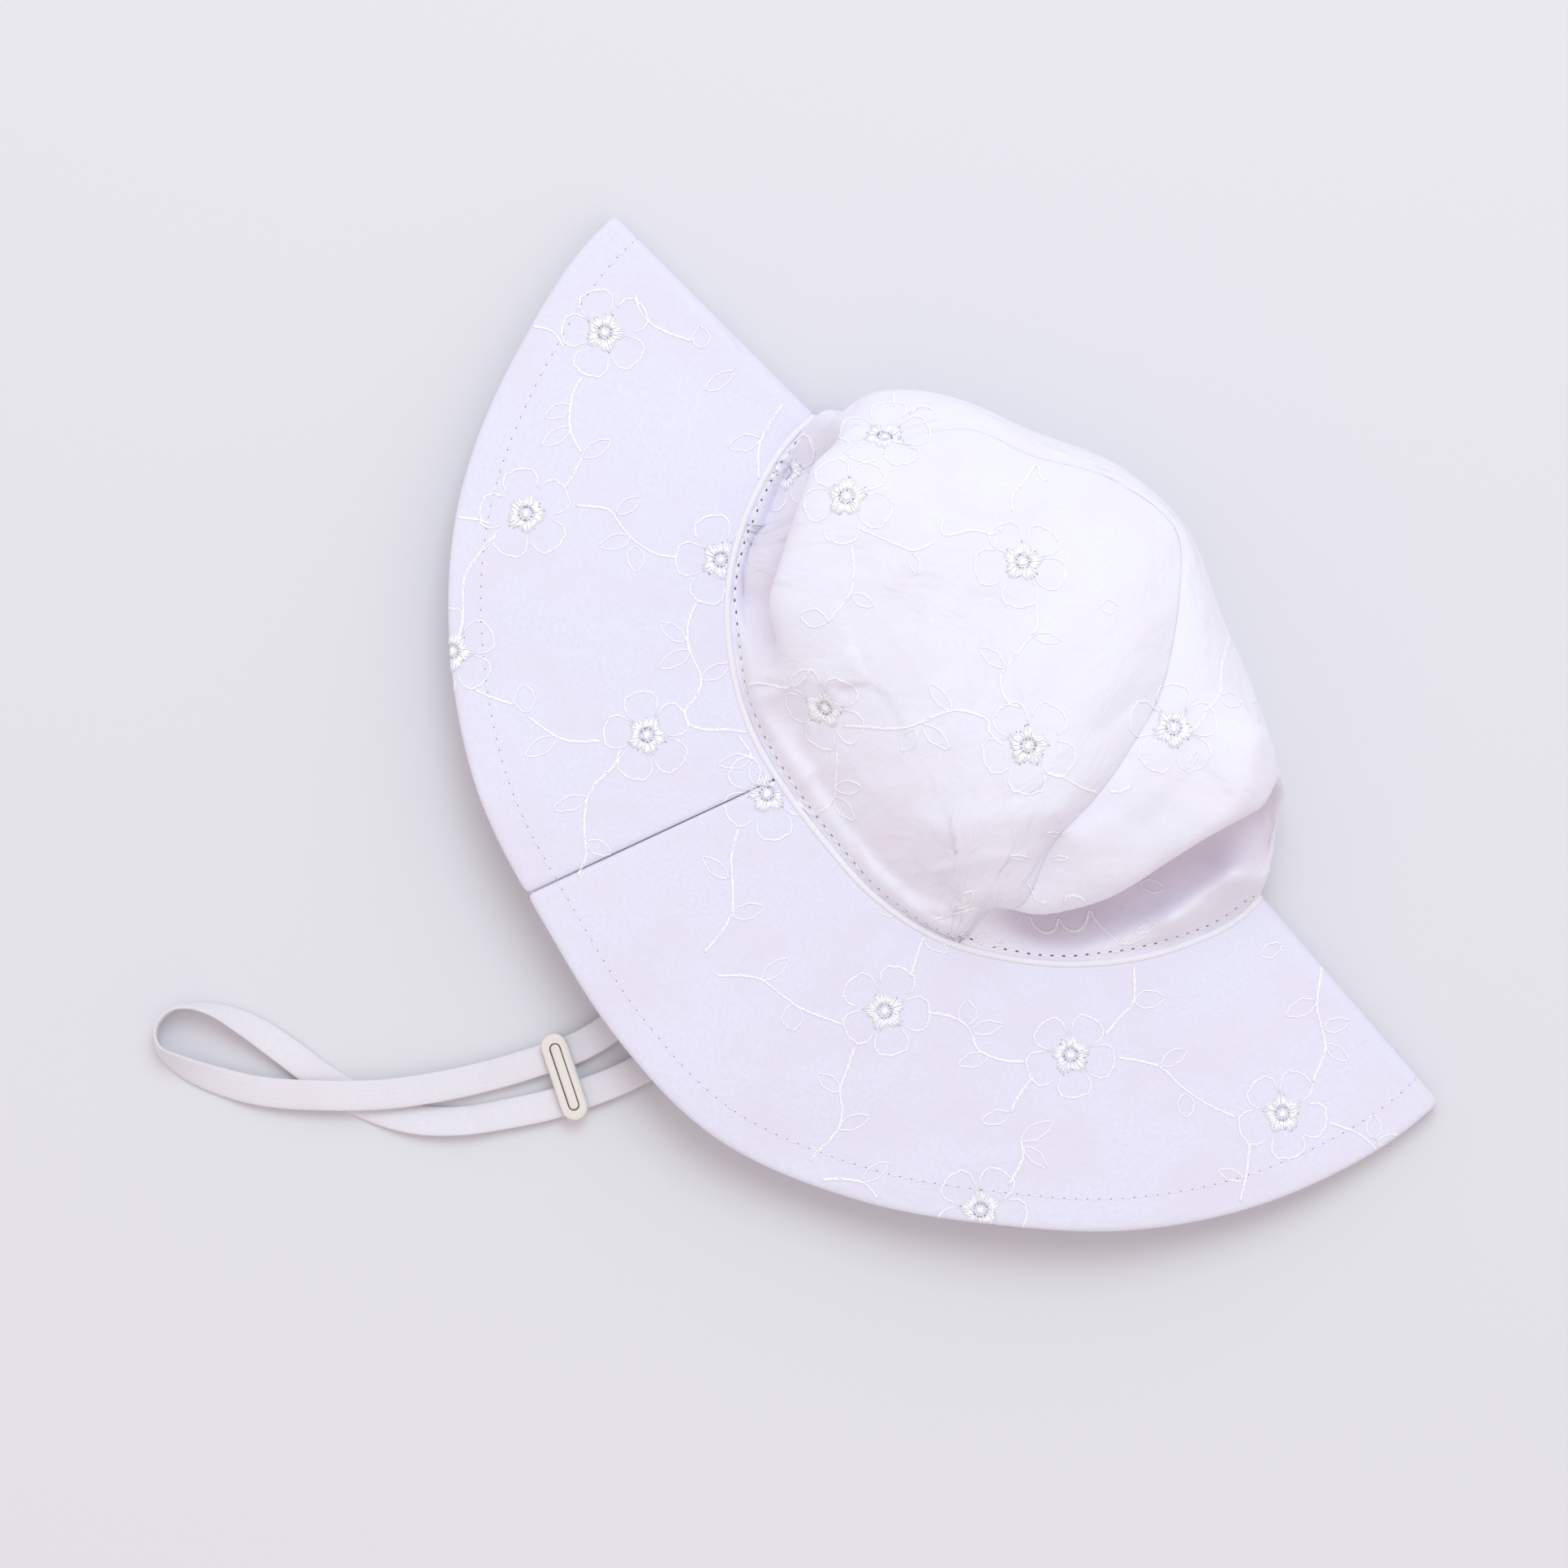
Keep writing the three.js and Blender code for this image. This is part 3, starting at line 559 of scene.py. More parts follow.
def beside(points, line):
    """How far each place is inside a line, its share along it and the way out across it"""
    flat = points[..., :2].reshape(-1, 1, 2)
    start, step = line[None, :-1], np.diff(line, axis=0)[None]
    part = np.clip(((flat - start) * step).sum(-1) / (step**2).sum(-1), 0, 1)
    offset = flat - start - step * part[..., None]
    best = np.argmin((offset**2).sum(-1), axis=1)
    rows = np.arange(len(best))
    step = step[0, best]
    out = unit(np.stack([step[:, 1], -step[:, 0]], -1))
    out *= np.where((out * line[best]).sum(-1) < 0, -1, 1)[:, None]
    inside = -(out * offset[rows, best]).sum(-1)
    share = (best + part[rows, best]) / (len(line) - 1)
    shape = points.shape[:-1]
    return inside.reshape(shape), share.reshape(shape), out.reshape(*shape, 2)


def fold_window(share, fades):
    return ease(share, 0, fades[0]) * (1 - ease(share, 1 - fades[1], 1))


# Cloth inside the crest, in mm: where the painted shade deepens and where it ends under the fold
POCKET_DEEPEST = (-10.0, 1.0)
POCKET_CLOTH = (4.0, 6.4)


def pocket_shade(points, upper):
    """How much painted shade the cloth gets in under a fold, from 0 outside it to 1 in the pocket;
    tall ridges are cleared of it, as if lit
    """
    shade = np.zeros(points.shape[:-1])
    for crest in CRESTS:
        inside, share, _ = beside(points, crest_line(crest))
        deep = mix(0.45, 1.0, ease(inside / MM, *POCKET_DEEPEST))
        deep = deep * (1 - ease(inside / MM, *POCKET_CLOTH))
        window = fold_window(share, crest["fades"])
        shade = np.maximum(shade, upper * crest["shade"] * window * deep)
    for ridge in WRINKLES:
        if ridge[4] > LIT_RIDGE:
            shade = shade * (1 - 0.9 * crease_profile(points, ridge))
    return shade


def crease_profile(points, crease):
    """1 on a charted crease, falling to 0 beside it"""
    px, py, to_px, to_py, _, spread = crease
    a = np.array(photo_to_plan(px, py))[:2] - SHIFT[:2]
    line = np.array(photo_to_plan(to_px, to_py))[:2] - SHIFT[:2] - a
    away = points[..., :2] - a
    share = np.clip((away * line).sum(-1) / (line**2).sum(), 0, 1)
    off = np.linalg.norm(away - share[..., None] * line, axis=-1) / (spread * MM)
    return np.exp(-(off**CREASE_SHARPNESS))


def press(points, upper):
    """Folds and creases in the upper side, with a narrow flat ledge where it is sewn down"""
    moved = points.copy()
    away, seam_height = by_seam(points)
    standing = points[..., 2] - seam_height
    moved[..., 2] -= upper * (1 - ease(away, *SEAM_LEDGE)) * np.maximum(standing, 0)
    pocket_floor = seam_height - POCKET_DIP * ease(away, *POCKET_SLOPE)
    room = np.maximum(moved[..., 2] - pocket_floor, 0)
    for crest in CRESTS:
        inside, share, out = beside(points, crest_line(crest))
        window = upper * fold_window(share, crest["fades"])
        push = window * ease(away, 0, FOLD_CALM) * fold_shift(inside / MM) * MM
        moved[..., 2] -= window * fold_fall(inside / MM) * np.minimum(crest["drop"], room)
        moved[..., :2] += out * push[..., None]
    amount = upper * ease(away, 1 * MM, SEAM_CALM)
    for crease in WRINKLES:
        moved[..., 2] += amount * crease[4] * MM * crease_profile(points, crease)
    return moved


# %% [markdown]
# ## Cloth from a grid
# Every cloth piece starts as one flat grid from bmesh, as it starts as flat cloth on a
# cutting table. Its points are then moved to their places on the hat. The grid's own
# coordinates, stretched to the cloth's real lengths, become the UV map.


# %% Grid helper
def new_object(name, bm):
    mesh = bpy.data.meshes.new(name)
    bm.to_mesh(mesh)
    bm.free()
    obj = bpy.data.objects.new(name, mesh)
    bpy.context.collection.objects.link(obj)
    return obj


def finish_mesh(bm, name, material):
    obj = new_object(name, bm)
    obj.data.materials.append(material)
    for polygon in obj.data.polygons:
        polygon.use_smooth = True
    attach(obj, "root")
    return obj


def cloth_grid(name, cells, place, flat_size, material):
    bm = bmesh.new()
    bmesh.ops.create_grid(bm, x_segments=cells[0], y_segments=cells[1], size=0.5)
    shares = np.array([v.co[:2] for v in bm.verts]) + 0.5
    uv_layer = bm.loops.layers.uv.new("cloth")
    for face in bm.faces:
        for loop in face.loops:
            loop[uv_layer].uv = shares[loop.vert.index] * flat_size
    for vert, point in zip(bm.verts, place(shares[:, 0], shares[:, 1]) + SHIFT):
        vert.co = point
    bmesh.ops.remove_doubles(bm, verts=bm.verts, dist=0.01 * MM)
    bmesh.ops.recalc_face_normals(bm, faces=bm.faces)
    return finish_mesh(bm, name, material)


def add_wall(obj, thickness):
    """Give a sheet its thickness about mid wall, then round it off"""
    wall = obj.modifiers.new("wall", "SOLIDIFY")
    wall.thickness, wall.offset, wall.use_even_offset = thickness, 0, False
    smooth = obj.modifiers.new("smooth", "SUBSURF")
    smooth.levels = smooth.render_levels = 1


# %% Brim halves
FOLD_STEPS = 0.16


def fold_spread(along, start, end):
    """More rows on the tight fold, so that it stays round"""
    fold_start = math.ceil(start)
    before, after = ((fold_start + i - start) / (end - start) for i in range(2))
    before_steps = (1 - FOLD_STEPS) * before / (before + 1 - after)
    return np.interp(along, [0, before_steps, before_steps + FOLD_STEPS, 1], [0, before, after, 1])


BRIM_START = PIPING_WIDTH / 2 - SEWN_UNDER
# Ripples of the near half's free edge: height in mm, waves round the half, phase
RIPPLES = [(0.9, 5.0, 0.2), (0.5, 11.0, 1.3), (0.35, 17.0, 2.9)]


def brim_half(start, end):
    def place(along, out):
        round_at = mix(start, end, fold_spread(along, start, end))
        turn = turn_of(round_at)
        edge = BRIM_WIDTH * width_share(turn)
        points = hat_round(round_at, mix(BRIM_START, edge, out), BRIM_WALL)
        near = np.floor(np.mod(round_at, 4)) == 1
        free = np.where(near, ease(out, 0.1, 1.0) * np.sin(math.pi * turn), 0)
        for size, waves, phase in RIPPLES:
            points[:, 2] += MM * size * free * np.sin(waves * turn * math.pi + phase)
        return points

    return place


near_seam, far_seam = 1 + NEAR_PANEL["side_seam"], 4 - FAR_PANEL["side_seam"]


BRIM_CELLS = (150, 26)
# The cloth's mean length round the hat, as a share of a circle's
ROUND_SHARE = 0.8
brims = []
for name, start, end in (("brim_front", far_seam - 4, near_seam),
                         ("brim_back", near_seam, far_seam)):
    length = (end - start) * SEAM_RADIUS * math.pi * ROUND_SHARE
    brim = cloth_grid(name + "_cloth", BRIM_CELLS, brim_half(start, end), (length, BRIM_WIDTH),
                      brim_cotton)
    add_wall(brim, BRIM_WALL)
    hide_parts(name)
    brims.append(brim)
print("Brim halves:", [len(b.data.vertices) for b in brims], "points")

# %% [markdown]
# ## The crown, settled as real cloth
# A crown drawn by formulas alone looks like blown plastic. So the three panels are first sewn
# into one bag, held along the crown seam and in the folds, given a little more cloth than the
# bag needs, and left to settle with the cloth simulation. What comes out keeps the main form
# and gains the small, uneven wrinkles of cotton.

# %% Sew the bag
def strip_shade(way, across):
    return pocket_shade(strip_base(way, across), strip_upper(across))


def near_shade(way, down):
    return pocket_shade(near_base(way, down), 1.0)


# Cells along and across, shape, shade and flat size of each panel, in metres
PANELS = {
    "crown_centre_panel": ((144, 84), crown_strip, strip_shade, (0.29, 0.112)),
    "crown_side_panel_near": ((144, 84), near_panel, near_shade, (0.24, 0.12)),
    "crown_side_panel_far": ((144, 10), far_panel, lambda way, down: 0 * way, (0.24, 0.12)),
}


def crown_bag():
    bm = bmesh.new()
    panel_layer = bm.faces.layers.int.new("panel")
    shade_layer = bm.verts.layers.float.new(POCKET_ATTRIBUTE)
    uv_layer = bm.loops.layers.uv.new("cloth")
    for index, (cells, place, shade, flat) in enumerate(PANELS.values()):
        made = bmesh.ops.create_grid(bm, x_segments=cells[0], y_segments=cells[1], size=0.5)
        shares = {v: (v.co.x + 0.5, v.co.y + 0.5) for v in made["verts"]}
        for face in {f for v in shares for f in v.link_faces}:
            face[panel_layer] = index
            for loop in face.loops:
                u, v = shares[loop.vert]
                loop[uv_layer].uv = (u * flat[0], v * flat[1] + index)
        ways, acrosses = np.array(list(shares.values())).T
        points = place(ways, acrosses) + SHIFT
        for vert, point, dark in zip(shares, points, shade(ways, acrosses)):
            vert.co = point
            vert[shade_layer] = dark
    bmesh.ops.remove_doubles(bm, verts=bm.verts, dist=0.05 * MM)
    bmesh.ops.dissolve_degenerate(bm, edges=bm.edges, dist=0.02 * MM)
    bmesh.ops.recalc_face_normals(bm, faces=bm.faces)
    return new_object("crown_bag", bm)


bag = crown_bag()
print("Crown bag:", len(bag.data.vertices), "points")

# %% Let it settle
SETTLE_FRAMES = 24
EXTRA_CLOTH = 0.035
LARGEST_MOVE = 3.5 * MM
# The cloth about a fold is held, up to these distances in mm from the fold's middle
FOLD_MIDDLE = 2
FOLD_HELD = (9, 30)
# Points less free than this don't move at all
HELD_BELOW = 0.12


def boundary_points(mesh):
    counts = {}
    for polygon in mesh.polygons:
        for key in polygon.edge_keys:
            counts[key] = counts.get(key, 0) + 1
    return sorted({index for key, count in counts.items() if count == 1 for index in key})


def point_array(mesh):
    return np.array([v.co[:] for v in mesh.vertices])


def freedom(points):
    """How free each point is to move: 0 in the folds and at the seam, 1 well away from them"""
    free = np.ones(len(points))
    for crest in CRESTS:
        inside, share, _ = beside(points, crest_line(crest))
        in_fold = 1 - ease(np.abs(inside / MM - FOLD_MIDDLE), *FOLD_HELD)
        free *= np.where((share <= 0) | (share >= 1), 1.0, 1 - in_fold)
    return free * ease(by_seam(points)[0], 1 * MM, SEAM_CALM)


def settle(obj):
    held = obj.vertex_groups.new(name="held")
    before = point_array(obj.data)
    free = freedom(before - SHIFT)
    for index in np.flatnonzero(free < HELD_BELOW):
        held.add([int(index)], 1.0, "REPLACE")
    held.add(boundary_points(obj.data), 1.0, "REPLACE")
    cloth = obj.modifiers.new("settle", "CLOTH")
    values = cloth.settings
    values.quality = 6
    values.mass = 0.12
    values.tension_stiffness = values.compression_stiffness = 12
    values.shear_stiffness = 6
    values.bending_stiffness = 0.2
    values.vertex_group_mass = "held"
    values.shrink_min = -EXTRA_CLOTH
    values.use_pressure = True
    values.uniform_pressure_force = 0.14
    values.effector_weights.gravity = 0.25
    cloth.collision_settings.use_collision = False
    cloth.collision_settings.use_self_collision = False
    scene = bpy.context.scene
    cloth.point_cache.frame_start, cloth.point_cache.frame_end = 1, SETTLE_FRAMES
    for step in range(1, SETTLE_FRAMES + 1):
        scene.frame_set(step)
    settled = obj.evaluated_get(bpy.context.evaluated_depsgraph_get()).to_mesh()
    after = point_array(settled)
    obj.modifiers.remove(cloth)
    scene.frame_set(1)
    move = after - before
    size = np.linalg.norm(move, axis=1, keepdims=True)
    capped = move * np.minimum(1, LARGEST_MOVE / np.maximum(size, 1e-9))
    result = before + capped * free[:, None]
    result[:, 2] = np.maximum(result[:, 2], CLOTH_WALL / 2)
    for vert, place in zip(obj.data.vertices, result):
        vert.co = place
    moved = np.linalg.norm(result - before, axis=1) / MM
    print(f"Cloth settled by {moved.max():.1f} mm at most, {moved.mean():.2f} mm on average")


settle(bag)


# %% Part the panels again
def panel_from_bag(bag, index, name):
    bm = bmesh.new()
    bm.from_mesh(bag.data)
    layer = bm.faces.layers.int["panel"]
    others = [face for face in bm.faces if face[layer] != index]
    bmesh.ops.delete(bm, geom=others, context="FACES")
    return finish_mesh(bm, name, crown_cotton)


# The least rectangle of cloth that holds each panel with its seam allowance, in metres
PANEL_CUTS = [(0.30, 0.15), (0.17, 0.17), (0.14, 0.13)]
crown_pieces = []
for index, (name, flat) in enumerate(zip(PANELS, PANEL_CUTS)):
    piece = panel_from_bag(bag, index, name + "_cloth")
    add_wall(piece, CLOTH_WALL)
    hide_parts(name)
    crown_pieces.append(piece)
bpy.data.objects.remove(bag)


# %% Piping in the crown seam
def blunt_oval(around, width, height, blunt_x, blunt_y):
    """A section with flattened sides: places across and above its middle"""
    angle = math.tau * around
    x, y = np.cos(angle), np.sin(angle)
    across = np.sign(x) * np.abs(x) ** blunt_x * width / 2
    above = np.sign(y) * np.abs(y) ** blunt_y * height / 2
    return across[:, None], above[:, None]


def piping_place(along, around):
    round_at = 4 * along
    middle = hat_round(round_at, 0 * along, PIPING_HEIGHT)
    outwards = hat_round(round_at, 0 * along + MM, PIPING_HEIGHT) - middle
    ahead = hat_round(round_at + 0.002, 0 * along, PIPING_HEIGHT) - middle
    across, above = blunt_oval(around, PIPING_WIDTH, PIPING_HEIGHT, 0.7, 0.7)
    return middle + unit(outwards) * across + unit(np.cross(ahead, outwards)) * above


PIPING_CELLS = (700, 12)
piping = cloth_grid("seam_piping_cloth", PIPING_CELLS, piping_place, (HEAD_GIRTH, 5 * MM),
                    piping_cotton)
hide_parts("seam_piping")

# %% [markdown]
# ## Chin strap
# The strap is one flat woven tape, sewn in at both side seams. It comes out between the two
# layers of the brim, runs through the slider, makes a loop and comes back. It lies flat, but
# a tape can't turn in its own plane, so at the end of the loop it stands on its edge.

# %% Strap route
STRAP_WIDTH, STRAP_WALL = 7.5 * MM, 1.1 * MM
# Places along the tape's middle in mm, and how far it stands on its edge in degrees
STRAP_ROUTE = [
    (-21.5, -63.5, 20.0, 0), (-19.5, -73, 17.6, 0), (-15, -90, 11.6, 0), (-9, -107, 6.4, 0),
    (-4.4, -122, 3.8, 0), (-3.2, -134, 2.9, 0), (-5.2, -144, 2.3, 0), (-7.2, -148.7, 2.2, 0),
    (-9.4, -153.6, 2.2, 0), (-14.8, -164.4, 2.6, 0), (-21.4, -175.6, 3.2, 0),
    (-29.2, -186.7, 3.4, 0), (-39.2, -197.9, 3.3, 0), (-50.6, -208.6, 2.6, 10),
    (-60.9, -215.2, 1.8, 25), (-69.4, -218.8, 1.6, 50), (-75.6, -219.8, 1.6, 75),
    (-79.8, -216.6, 1.6, 88), (-80.4, -211, 1.6, 90), (-77.6, -206.6, 1.6, 85),
    (-72.4, -202.9, 1.4, 68), (-64.4, -199.8, 1.0, 40), (-54.1, -197.5, 0.8, 18),
    (-43.1, -195.6, 0.7, 5), (-30.2, -191.8, 0.7, 0), (-19.6, -185.6, 0.8, 12),
    (-11.3, -177.2, 1.2, 20), (-4.3, -166.8, 1.8, 10), (0.9, -158, 2.2, 0), (3.0, -153.3, 2.2, 0),
    (5.2, -148.4, 2.25, 0), (8.2, -140.5, 2.6, 0), (11.4, -128, 2.6, 0), (16.4, -106, 2.6, 0),
    (22.4, -83, 2.6, 0), (26.6, -67.5, 2.6, 0),
]


def smooth_route(rows, steps):
    """A smooth curve through the rows of a table, with even steps along it"""
    rows = np.array(rows, float)
    distance = run_along(rows[:, :3], 0.5)
    dense = np.linspace(0, distance[-1], steps * 8)
    slope = np.gradient(rows, distance, axis=0)
    i = np.clip(np.searchsorted(distance, dense, side="right") - 1, 0, len(rows) - 2)
    h = (distance[i + 1] - distance[i])[:, None]
    t = (dense - distance[i])[:, None] / h
    p, q, m, n = rows[i], rows[i + 1], slope[i] * h, slope[i + 1] * h
    curve = (2 * t**3 - 3 * t**2 + 1) * p + (t**3 - 2 * t**2 + t) * m
    curve += (3 * t**2 - 2 * t**3) * q + (t**3 - t**2) * n
    run = run_along(curve[:, :3])
    return read_columns(np.linspace(0, run[-1], steps), run, curve)


route = smooth_route(STRAP_ROUTE, 260)
stand_angle = np.radians(route[:, 3])
centre_line = route[:, :3] * MM
half_height = STRAP_WIDTH / 2 * np.sin(stand_angle) + STRAP_WALL / 2 * np.cos(stand_angle)
centre_line[:, 2] = np.maximum(centre_line[:, 2], half_height + 0.05 * MM)
centre_line += SHIFT
strap_length = float(run_along(centre_line)[-1])
print(f"Strap length {strap_length / MM:.0f} mm")


# %% Strap tape
def strap_place(along, around):
    stations = np.arange(len(centre_line))
    index = along * stations[-1]
    at = read_columns(index, stations, centre_line)
    ahead = unit(read_columns(index, stations, np.gradient(centre_line, axis=0)))
    side = unit(np.cross(ahead, [0, 0, 1.0]))
    stand = np.interp(index, stations, stand_angle)[:, None]
    wide = side * np.cos(stand) + np.cross(side, ahead) * np.sin(stand)
    across, above = blunt_oval(around, STRAP_WIDTH, STRAP_WALL, 0.45, 0.75)
    return at + wide * across + np.cross(wide, ahead) * above - SHIFT


TAPE_CELLS = (300, 20)
strap = cloth_grid("chin_strap_tape", TAPE_CELLS, strap_place, (strap_length, 2 * STRAP_WIDTH),
                   strap_cotton)


def close_ends(obj):
    bm = bmesh.new()
    bm.from_mesh(obj.data)
    open_edges = [edge for edge in bm.edges if edge.is_boundary]
    bmesh.ops.holes_fill(bm, edges=open_edges, sides=0)
    bmesh.ops.recalc_face_normals(bm, faces=bm.faces)
    bm.to_mesh(obj.data)
    bm.free()


close_ends(strap)
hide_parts("chin_strap")

# %% [markdown]
# ## Slider
# The adjuster is moulded in cream plastic: smooth, a little translucent, with soft highlights.
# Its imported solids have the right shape, so they stay and only get this finish.


# %% Cream plastic
def cream_plastic():
    material, tree, shader = new_material("cream_plastic", (0.80, 0.745, 0.70), 0.32)
    shader.inputs["Subsurface Weight"].default_value = 0.15
    shader.inputs["Subsurface Radius"].default_value = (2 * MM, 1.6 * MM, 1 * MM)
    shader.inputs["Specular IOR Level"].default_value = 0.5
    at = add_node(tree, "ShaderNodeTexCoord").outputs["Object"]
    scuffs = add_noise(tree, at, Scale=900.0, Detail=3.0)
    add_bump(tree, scuffs, 0.08, 0.1 * MM, shader)
    roughness = add_node(tree, "ShaderNodeMapRange")
    roughness.inputs["To Min"].default_value, roughness.inputs["To Max"].default_value = 0.26, 0.42
    tree.links.new(scuffs, roughness.inputs["Value"])
    tree.links.new(roughness.outputs["Result"], shader.inputs["Roughness"])
    return material


slider_plastic = cream_plastic()
for name in ("slider_body", "slider_bar"):
    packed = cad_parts[name]
    packed.data.materials.clear()
    packed.data.materials.append(slider_plastic)
    print(name, "has", len(packed.data.polygons), "faces")

# %% [markdown]
# ## Raised embroidery
# The white cotton is machine embroidered: five-petal flowers round a small eyelet, pointed
# leaves and thin stems. The design is a short chart of places in the photo. Each
# place is carried down the camera's own line of sight onto the finished cloth, so the threads
# lie on the folds exactly where they are seen, and every thread is a fine tube that follows
# the surface.

# %% Chart of the flowers
# Photo x, photo y, turn of the first petal in degrees, and the cloth it is sewn on
FLOWERS = [
    (745, 410, 33, "brim"), (648, 633, 28, "brim"), (888, 690, 30, "brim"), (797, 906, 30, "brim"),
    (557, 803, 30, "brim"), (945, 978, 66, "brim"), (1090, 1246, 66, "brim"),
    (1319, 1300, 59, "brim"), (1580, 1372, 62, "brim"), (1208, 1491, 62, "brim"),
    (1043, 612, 45, "crown"), (1260, 692, 48, "crown"), (1017, 872, 50, "crown"),
    (1267, 919, 50, "crown"), (1446, 897, 20, "crown"), (1090, 538, 12, "crown"),
    (961, 578, 30, "crown"),
]

# %% Chart of the stems
STEMS = {
    "brim": [
        [(710, 623), (750, 628), (760, 640), (777, 662), (807, 682), (833, 687)],
        [(695, 602), (707, 583), (718, 563)],
        [(563, 637), (587, 640), (605, 645)],
        [(610, 660), (590, 683), (573, 710), (570, 760), (565, 790)],
        [(657, 402), (677, 407), (688, 417), (695, 428)],
        [(783, 363), (787, 380), (800, 397), (823, 410), (853, 420)],
        [(965, 497), (952, 517), (940, 537), (935, 553), (935, 590)],
        [(717, 465), (708, 480), (703, 500), (703, 530), (716, 558)],
        [(860, 740), (850, 762), (847, 785), (850, 802), (864, 837), (857, 860), (844, 877),
         (848, 890), (858, 897), (905, 900), (925, 903)],
        [(740, 913), (703, 913), (685, 907), (650, 883)],
        [(633, 868), (600, 857), (585, 850)],
        [(765, 922), (757, 943), (733, 967), (723, 987), (720, 1027), (722, 1053), (712, 1080)],
        [(910, 907), (922, 923), (927, 937)],
        [(910, 1022), (902, 1053), (902, 1123), (890, 1147), (868, 1173)],
        [(883, 1202), (913, 1202), (938, 1207), (962, 1225), (988, 1243), (1013, 1253),
         (1038, 1262)],
        [(1137, 1155), (1130, 1177), (1122, 1203)],
        [(1053, 1290), (1043, 1320), (1035, 1343), (1038, 1367), (1033, 1390), (998, 1430)],
        [(1142, 1247), (1173, 1253), (1190, 1263), (1197, 1272), (1203, 1290), (1217, 1300),
         (1240, 1307), (1263, 1308)],
        [(1273, 1327), (1257, 1347), (1245, 1370)],
        [(1258, 1405), (1260, 1427), (1243, 1460)],
        [(1013, 1453), (1040, 1453), (1063, 1457), (1082, 1476)],
        [(1362, 1275), (1380, 1253), (1396, 1235), (1397, 1190)],
        [(1377, 1303), (1403, 1307), (1430, 1315), (1457, 1340), (1487, 1360), (1523, 1377)],
        [(1540, 1410), (1535, 1450), (1528, 1480)],
        [(1637, 1383), (1670, 1395), (1690, 1410), (1700, 1425)],
        [(1617, 1333), (1628, 1307), (1633, 1290), (1623, 1243), (1623, 1227), (1627, 1203),
         (1628, 1190)],
    ],
    "crown": [
        [(1057, 650), (1080, 660), (1110, 673), (1127, 678), (1150, 668)],
        [(1050, 673), (1052, 707), (1047, 732), (1033, 750), (1020, 767)],
        [(1162, 640), (1162, 658), (1200, 653), (1222, 658), (1237, 650)],
        [(1247, 630), (1248, 610), (1257, 600), (1277, 573), (1282, 588), (1290, 593)],
        [(1277, 743), (1277, 773), (1260, 797), (1240, 822), (1233, 833), (1237, 857), (1245, 868),
         (1257, 870)],
        [(1040, 895), (1063, 895), (1100, 898), (1127, 893), (1153, 882), (1177, 875), (1203, 880),
         (1217, 888), (1220, 903), (1235, 917)],
        [(920, 843), (940, 842), (970, 847), (987, 840), (1000, 823)],
        [(1513, 755), (1515, 782), (1505, 820), (1502, 857), (1487, 876), (1476, 894),
         (1464, 902)],
        [(1287, 952), (1311, 958), (1330, 969), (1352, 976)],
        [(1367, 975), (1380, 975), (1394, 969)],
        [(1151, 1133), (1173, 1126), (1207, 1118)],
        [(980, 985), (1003, 1003), (1028, 982), (1030, 965), (1032, 927)],
        [(1267, 1128), (1275, 1142), (1288, 1150), (1299, 1146), (1304, 1131)],
        [(1304, 1131), (1312, 1143), (1324, 1148), (1336, 1141), (1343, 1122), (1349, 1133),
         (1379, 1163)],
        [(1120, 510), (1135, 500), (1150, 505)],
        [(1100, 480), (1102, 500)],
        [(1311, 1112), (1314, 1106), (1322, 1103), (1330, 1105), (1338, 1110)],
        [(1266, 1088), (1272, 1098), (1276, 1110)],
        [(1281, 1112), (1291, 1111)],
    ],
}

